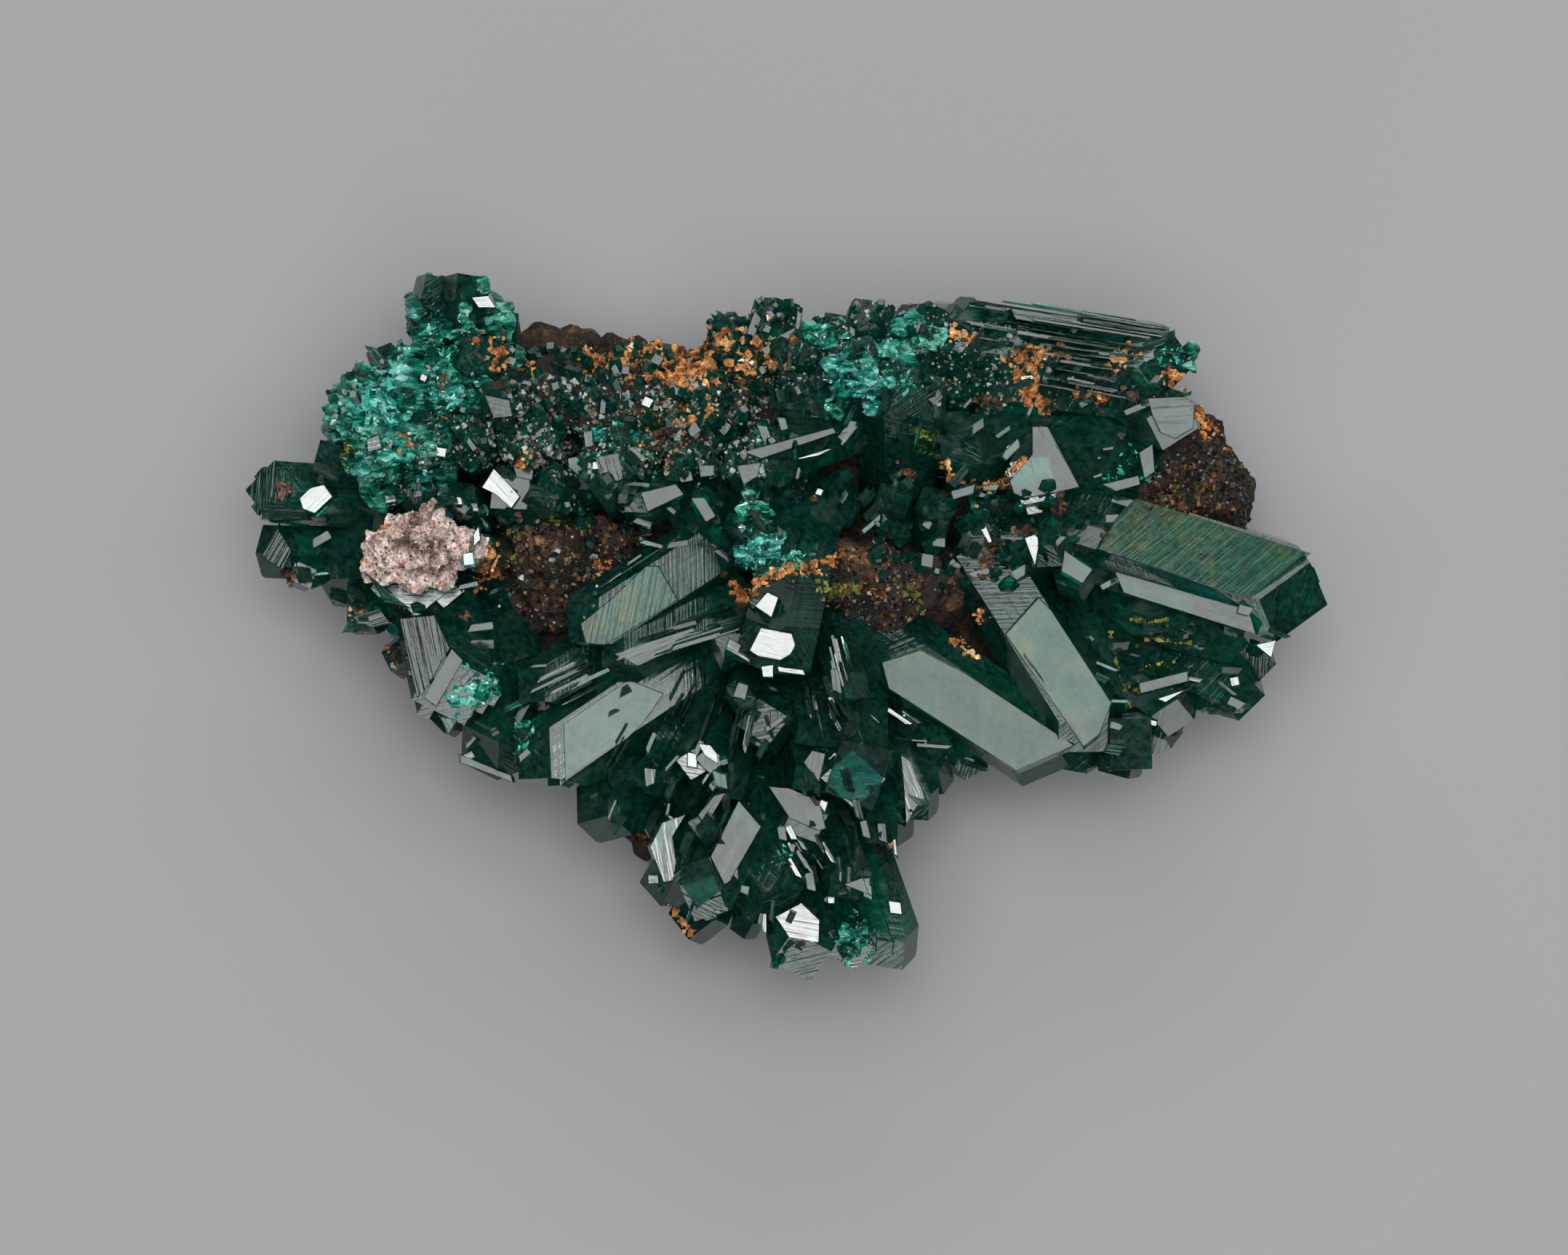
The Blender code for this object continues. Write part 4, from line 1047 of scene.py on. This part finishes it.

# Grains
# Loose faceted grains of iron oxide, quartz and dioptase on the rock and the druses, each with a
# colour of its own, and thin teal or yellow-green flakes where the crystals are cracked inside; the
# light teal of the teal flakes is painted reflection from those cracks.
# Rows: corner, corner, how many, smallest and largest size, colours.
MATRIX = (
    "0A0806", "120E0A", "1A140D", "2A1E15", "3E2C1C", "5C4224", "141712", "0A1F17", "081612", "7A5A2C",
    "0C2A1E"
)
RUST = ("6B3A1C", "8F5428", "B0733A", "4A2A16", "C9995E", "2A1A10")
DRUSE = ("1E4038", "3C655B", "185044", "86938D", "2C423B", "8A7862", "3E2C20", "123A30", "A4B0AA")
TEAL = ("1F9C82", "35C9A9", "0E6B57", "63E0C4", "0A4A3C")
# Teal of the crystal; the lighter teals are painted reflections from cracks inside it.
SUGAR = ("B09C94", "7A5E54", "4A342E", "D0C4BE", "8A5030", "2E2220", "94786E")
LEAF = ("1C4A0F", "2A5C1A", "143A0C", "3E5A1C", "10300F")
GRAIN_PATCHES = (
    ((21, 5.3), (27, 14.8), 1100, 0.2, 0.5, MATRIX),
    ((-16.5, -0.5), (-8, 7.5), 1000, 0.2, 0.5, MATRIX),
    ((0, -0.5), (8, 4.5), 600, 0.15, 0.45, MATRIX),
    ((-16, 8.5), (-1, 14.4), 1900, 0.18, 0.5, DRUSE),
    ((-16, 12.5), (0.5, 14.6), 250, 0.15, 0.4, MATRIX),
    ((-9.5, 9.5), (-5.5, 13), 220, 0.15, 0.4, RUST),
    ((-5, 13.5), (9.5, 18.9), 900, 0.15, 0.4, DRUSE),
    ((-21, 9), (-12.5, 12), 450, 0.15, 0.4, DRUSE),
    ((5.5, 1.5), (13.5, 7.5), 260, 0.15, 0.4, MATRIX),
    ((9.5, 12.5), (14.5, 17.5), 300, 0.15, 0.4, DRUSE),
    ((-27, -3), (-20, 1.5), 120, 0.15, 0.4, RUST),
    ((-24.2, 2.3), (-17.7, 7.2), 500, 0.09, 0.22, SUGAR),
    ((-16.5, -0.5), (-8, 7.5), 90, 0.2, 0.5, DRUSE),
)
FLAKE_PATCHES = (
    ((-25.2, 11.4), (-22, 13.8), 110, 0.15, 0.8, TEAL),
    ((-20.4, 12.5), (-18.6, 17), 70, 0.15, 0.5, TEAL),
    ((-22.8, 8.6), (-20.4, 10.4), 60, 0.2, 0.5, TEAL),
    ((-2.6, 4.8), (-0.9, 7.8), 60, 0.2, 0.6, TEAL),
    ((-2.4, 2.8), (1.2, 4.2), 60, 0.2, 0.6, TEAL),
    ((2.8, 12.4), (7.4, 15.4), 70, 0.2, 0.6, TEAL),
    ((-10.6, 9.6), (-7.6, 11.6), 60, 0.2, 0.5, TEAL),
    ((-18.4, -4.6), (-16.2, -2), 40, 0.2, 0.6, TEAL),
    ((-15.6, -7.4), (-14, -5.2), 25, 0.2, 0.5, TEAL),
    ((2.8, -19.4), (5.3, -17.2), 35, 0.2, 0.5, TEAL),
    ((-1.4, -14.2), (0.6, -12.6), 25, 0.15, 0.4, TEAL),
    ((21.2, 14.8), (23.6, 16), 35, 0.2, 0.5, TEAL),
    ((18, 8), (21.4, 10.4), 40, 0.2, 0.5, TEAL),
    ((20, -3.8), (24.2, 0.6), 30, 0.25, 0.7, LEAF),
    ((7.2, 9.8), (8.8, 11.2), 40, 0.2, 0.5, LEAF),
    ((-12.2, 6), (-10.6, 7.4), 40, 0.15, 0.4, LEAF),
    ((-25.6, 8.8), (-24.4, 10.4), 25, 0.2, 0.5, LEAF),
    ((-11.8, 14.6), (-8.6, 16.6), 60, 0.15, 0.4, LEAF),
    ((2, 1), (6, 3), 60, 0.2, 0.5, RUST),
)


def tinted(name, roughness, clear):
    """A glassy mineral whose grains carry their own colours."""
    made, tree, shader = material(name)
    tint = node(tree, "ShaderNodeVertexColor", layer_name="tint").outputs["Color"]
    where = node(tree, "ShaderNodeTexCoord").outputs["Object"]
    speck = node(tree, "ShaderNodeTexNoise", [("Vector", where), ("Scale", 5000.0), ("Detail", 3.0)])
    shade = node(tree, "ShaderNodeMapRange", [("Value", speck), ("To Min", 0.4), ("To Max", 1.6)])
    mixed = node(tree, "ShaderNodeMix", data_type="RGBA", blend_type="MULTIPLY")
    mixed.inputs[0].default_value = 1.0
    tree.links.new(tint, mixed.inputs[6])
    tree.links.new(shade.outputs[0], mixed.inputs[7])
    tree.links.new(mixed.outputs[2], shader.inputs["Base Color"])
    shader.inputs["Roughness"].default_value = roughness
    shader.inputs["Transmission Weight"].default_value = clear
    return made


def scattered(name, patches, templates, seed, wildness):
    """Copies of the templates dropped on the surface inside the patches."""
    chance = random.Random(seed)
    rows = []
    for low, high, number, small, large, hues in patches:
        for one in range(number):
            found = under(bases, chance.uniform(low[0], high[0]), chance.uniform(low[1], high[1]))
            if found is None or found[0].z < 6:
                continue
            point, normal, piece = found
            if hues is MATRIX and piece is not rock or hues is SUGAR and piece is not lump:
                continue
            size = small + (large - small) * chance.random() ** 2
            wild = Vector([chance.gauss(0, wildness) for axis in range(3)])
            place = standing(point, (normal + wild).normalized(), size, chance.uniform(0, 6))
            rows.append((chance.randrange(len(templates)), place, colour(chance.choice(hues))))
    return copies(name, templates, rows)


def chip(segments, top, depth, stretch=1.0):
    """A small faceted chip of unit size."""
    bm = bmesh.new()
    bmesh.ops.create_cone(bm, segments=segments, radius1=0.5, radius2=top, depth=depth, cap_ends=True)
    bmesh.ops.scale(bm, vec=(stretch, 1 / stretch, 1), verts=bm.verts)
    return template(bm)


grain_chips = [chip(4, 0.3, 0.7), chip(5, 0.2, 0.6), chip(3, 0.35, 0.8)]
grains = scattered("grains", GRAIN_PATCHES, grain_chips, 21, 0.6)
grains.data.materials.append(tinted("mixed mineral grains", 0.35, 0.0))
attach(grains, "root")
flake_chips = [chip(3, 0.4, 0.12, 1.6), chip(4, 0.35, 0.16, 1.3), chip(5, 0.3, 0.1, 1.9)]
flakes = scattered("flakes", FLAKE_PATCHES, flake_chips, 22, 0.5)
# The teal flakes carry painted reflections from cracks inside the crystals.
flakes.data.materials.append(tinted("cracked dioptase flakes", 0.12, 0.3))
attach(flakes, "root")

# Rust crusts
# Porous limonite in ridges and flakes on rock and crystals: heaps of grains along listed strokes,
# melted into one skin and roughened. Each stroke is points in millimetres and a radius.
ORANGE_STROKES = (
    (((-3, 2.5), (-2.3, 1.5), (-1.2, 2.4), (0, 3), (2, 3.4), (3.4, 4)), 0.42),
    (((-8, 15.3), (-6, 14.9), (-4, 15.2), (-2, 14.9), (-0.5, 15.6)), 0.9),
    (((-11.8, 15.6), (-10, 15.2), (-8.6, 15.6)), 0.7),
    (((-8.4, 14.4), (-6, 14), (-4, 14.3), (-2.4, 14)), 0.7),
    (((-7.5, 16.2), (-5.4, 15.9), (-3.4, 16.4), (-1.4, 16)), 0.7),
    (((-4.6, 13.2), (-4.2, 12), (-5.4, 11.6)), 0.4),
    (((13.6, 15.8), (14.4, 14.6), (13.8, 13.4)), 0.8),
    (((-15.6, 9.9), (-14.6, 9.6)), 0.4),
    (((-17.3, 16.3), (-16.5, 15.6), (-15.7, 14.8)), 0.6),
    (((-14.8, 15), (-14.2, 14.4)), 0.4),
    (((-22.9, 9.5), (-22.2, 10.2), (-21.3, 10.6)), 0.35),
    (((-16.7, 4.5), (-17, 3.4), (-17.8, 2.2)), 0.45),
    (((-10.8, 3.2), (-10, 3.6)), 0.4),
    (((9.2, 9.3), (9.6, 8.5), (10.3, 8.1), (11.5, 8), (12.5, 8.2), (13.2, 8.8), (13.7, 9.5)), 0.28),
    (((9.5, 17.2), (10.2, 16.6), (11, 16.4)), 0.4),
    (((14, 15.6), (15, 15.4), (16.4, 15.8)), 0.6),
    (((13.8, 14), (14.6, 13), (15.2, 12.5)), 0.6),
    (((16.6, 13.4), (17.6, 13.2), (18.6, 12.9)), 0.45),
    (((18.6, 14.6), (19.2, 15.2), (20.2, 15.9)), 0.5),
    (((21.8, 14.5), (22.8, 13.9), (23.5, 13.2), (24.1, 12.2)), 0.5),
    (((23.9, 12.3), (24.3, 11.4), (24.9, 11.2)), 0.6),
    (((9.3, -0.8), (10.1, -1.2), (11, -1.7)), 0.22),
    (((9.6, -0.9), (10.6, -0.9)), 0.18),
    (((-6.9, -16.1), (-6, -16.9), (-5.3, -17.7)), 0.3),
    (((6, -12.6), (6.4, -12.8)), 0.25),
    (((11.3, 7), (12.3, 6.8)), 0.35),
    (((11.3, 0.9), (11.3, 0.4)), 0.4),
)
BROWN_STROKES = (
    (((-8, 12), (-7.2, 11.2), (-6.7, 10.6)), 0.6),
    (((-19.6, 13.9), (-19.2, 13.6)), 0.4),
    (((-28.9, 8), (-28.4, 7.7)), 0.4),
    (((-28.9, 3), (-28.2, 2.7)), 0.4),
    (((-21.6, 0.2), (-21.1, 0)), 0.45),
    (((-18.6, 0.6), (-17.9, 0.4)), 0.3),
    (((-22.9, -1.2), (-22.2, -1.9)), 0.4),
    (((-15.5, 5.5), (-14, 5), (-12.5, 4.5)), 0.8),
    (((0.5, 7.7), (0.9, 7.4)), 0.4),
    (((1.6, 7.3), (1.9, 7.1)), 0.25),
    (((-4.2, 4.6), (-4, 4.4)), 0.3),
    (((9.8, 3.6), (9.9, 2.2)), 0.55),
    (((6.6, 8.9), (7.3, 8.5)), 0.5),
    (((11.4, 3), (11.7, 4), (12.3, 4.8), (13.3, 5.3), (14.4, 5.4)), 0.42),
    (((15.6, 7.5), (15.8, 6.6)), 0.45),
    (((18.2, 4.6), (18.9, 5.3), (19.5, 5)), 0.35),
    (((20.2, 6.3), (20.8, 6), (21.2, 5.4)), 0.25),
    (((21.6, 4.6), (22.2, 4.3)), 0.18),
    (((-8.3, -12.2), (-8.2, -12.8)), 0.5),
    (((0.6, -18), (1.2, -18.4)), 0.3),
    (((15, 16.4), (16.4, 16.3)), 0.4),
    (((10.8, 13.2), (12, 12.8), (12.8, 13)), 0.5),
    (((19.6, 13.4), (20.3, 13)), 0.3),
    (((24.4, -4.9), (25.6, -4.8)), 0.3),
)
GOLD_STROKES = (
    (((18.8, -0.4), (19, -1.6), (19.3, -3), (19.9, -4.8)), 0.11),
    (((19.4, -3.2), (20.4, -3.9), (21.4, -3.4)), 0.09),
    (((20.3, -1.2), (21.2, -0.7), (22.4, -1), (23.6, -1)), 0.09),
    (((20.8, -2.4), (22.2, -2), (23.8, -2.5)), 0.09),
    (((19.8, 0.4), (21, 0.2), (22, 0.4)), 0.09),
    (((-16, 3.4), (-15.2, 4.4), (-15.6, 5.6)), 0.16),
    (((-13.6, 6.2), (-12.4, 5.6)), 0.2),
    (((-25.4, 9.6), (-24.9, 10.4)), 0.2),
    (((6.4, 2.6), (7.4, 1.8), (8, 1)), 0.3),
    (((2, 2.2), (3.2, 1.9), (4.4, 2.3)), 0.35),
    (((7.2, 11.4), (8.4, 10.6)), 0.2),
)


def crust(name, strokes, seed, voxel, surfaces):
    """A porous skin over heaps of small lumps that lie along the strokes."""
    chance = random.Random(seed)
    lumps = []
    for points, radius in strokes:
        for start, end in zip(points, points[1:]):
            start, end = Vector(start), Vector(end)
            for one in range(max(2, round((end - start).length / radius * 16))):
                spot = start.lerp(end, chance.random())
                spot += Vector((chance.gauss(0, 0.55), chance.gauss(0, 0.55))) * radius
                found = under(surfaces, spot.x, spot.y)
                if found is None:
                    continue
                size = radius * chance.uniform(0.1, 0.34)
                centre = found[0] + found[1] * size * chance.uniform(0.1, 1.0)
                half = [size * chance.uniform(0.7, 1.2) for axis in range(3)]
                lumps.append((tuple(centre), half))
    skin = melted(name, lumps, voxel, 1)
    roughened(skin, ((0.3, 0.5), (0.2, 0.25), (0.1, 0.13)))
    return mesh_object(name, skin)


rust = stone(
    "limonite",
    (
        (0.36, "3A1E0E"), (0.44, "8A5226"), (0.50, "BE7C42"), (0.57, "DDA262"), (0.64, "EBCB9C"),
        (0.74, "96562A")
    ),
    900.0
)
brown = stone(
    "brown iron crust",
    (
        (0.36, "120C0A"), (0.45, "33221A"), (0.52, "5C3F2C"), (0.60, "8A684C"), (0.68, "B09680"),
        (0.77, "4A2E1E")
    ),
    900.0
)
gold = stone(
    "yellow iron stain",
    (
        (0.36, "1C2408"), (0.46, "4A5214"), (0.54, "7E7C2A"), (0.62, "B0A650"), (0.70, "6B7022"),
        (0.78, "2E4410")
    ),
    900.0
)
CRUST_VOXEL = 0.09
gold_crust = crust("gold_crust", GOLD_STROKES, 7, CRUST_VOXEL, bases)
gold_crust.data.materials.append(gold)
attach(gold_crust, "root")
orange_crust = crust("orange_crust", ORANGE_STROKES, 5, CRUST_VOXEL, bases)
orange_crust.data.materials.append(rust)
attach(orange_crust, "root")
brown_crust = crust("brown_crust", BROWN_STROKES, 6, CRUST_VOXEL, bases)
brown_crust.data.materials.append(brown)
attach(brown_crust, "root")

# Floor
# A plain pale surface under the specimen.
floor_mesh = bmesh.new()
bmesh.ops.create_grid(floor_mesh, x_segments=1, y_segments=1, size=3.0)
floor = mesh_object("floor", floor_mesh)
floor_paint, floor_tree, floor_shader = material("pale floor")
floor_shader.inputs["Base Color"].default_value = colour("949496")
floor_shader.inputs["Roughness"].default_value = 0.8
floor.data.materials.append(floor_paint)

# Lights
# Soft boxes round a camera that looks straight down. Each is aimed at the specimen.
AIM = Vector((0, 0, 15)) * MM


def soft_box(name, direction, distance, width, height, radiance):
    """An area light of a given radiance, at a distance in millimetres along a direction."""
    lamp = bpy.data.lights.new(name, "AREA")
    lamp.shape = "RECTANGLE"
    lamp.size = width * MM
    lamp.size_y = height * MM
    lamp.energy = radiance * math.pi * lamp.size * lamp.size_y
    holder = bpy.data.objects.new(name, lamp)
    bpy.context.collection.objects.link(holder)
    out = Vector(direction).normalized()
    holder.location = AIM + out * distance * MM
    holder.rotation_euler = (-out).to_track_quat("-Z", "Y").to_euler()
    return holder


soft_box("overhead", (0.02, 0.05, 1.0), 620, 620, 600, 3.4)
soft_box("back", (0.0, 0.8, 0.6), 600, 560, 240, 2.6)
soft_box("right", (0.68, 0.2, 0.7), 600, 190, 330, 1.0)
soft_box("sparkle", (0.03, 0.14, 1.0), 590, 200, 130, 10.0)
soft_box("front", (0.0, -1.0, 0.28), 260, 300, 70, 2.6)
world = bpy.data.worlds.new("studio")
world.use_nodes = True
world.node_tree.nodes["Background"].inputs["Color"].default_value = colour("303438")
world.node_tree.nodes["Background"].inputs["Strength"].default_value = 1.0
bpy.context.scene.world = world

# Camera
# A long lens straight above the specimen, as the photo sees it.
camera = bpy.data.cameras.new("camera")
camera.lens = 200
camera.sensor_width = 36
camera.clip_start = 0.01
camera.clip_end = 20
viewer = bpy.data.objects.new("camera", camera)
bpy.context.collection.objects.link(viewer)
viewer.location = Vector((0, -0.104, 514)) * MM
bpy.context.scene.camera = viewer
bpy.context.scene.view_settings.view_transform = "Standard"
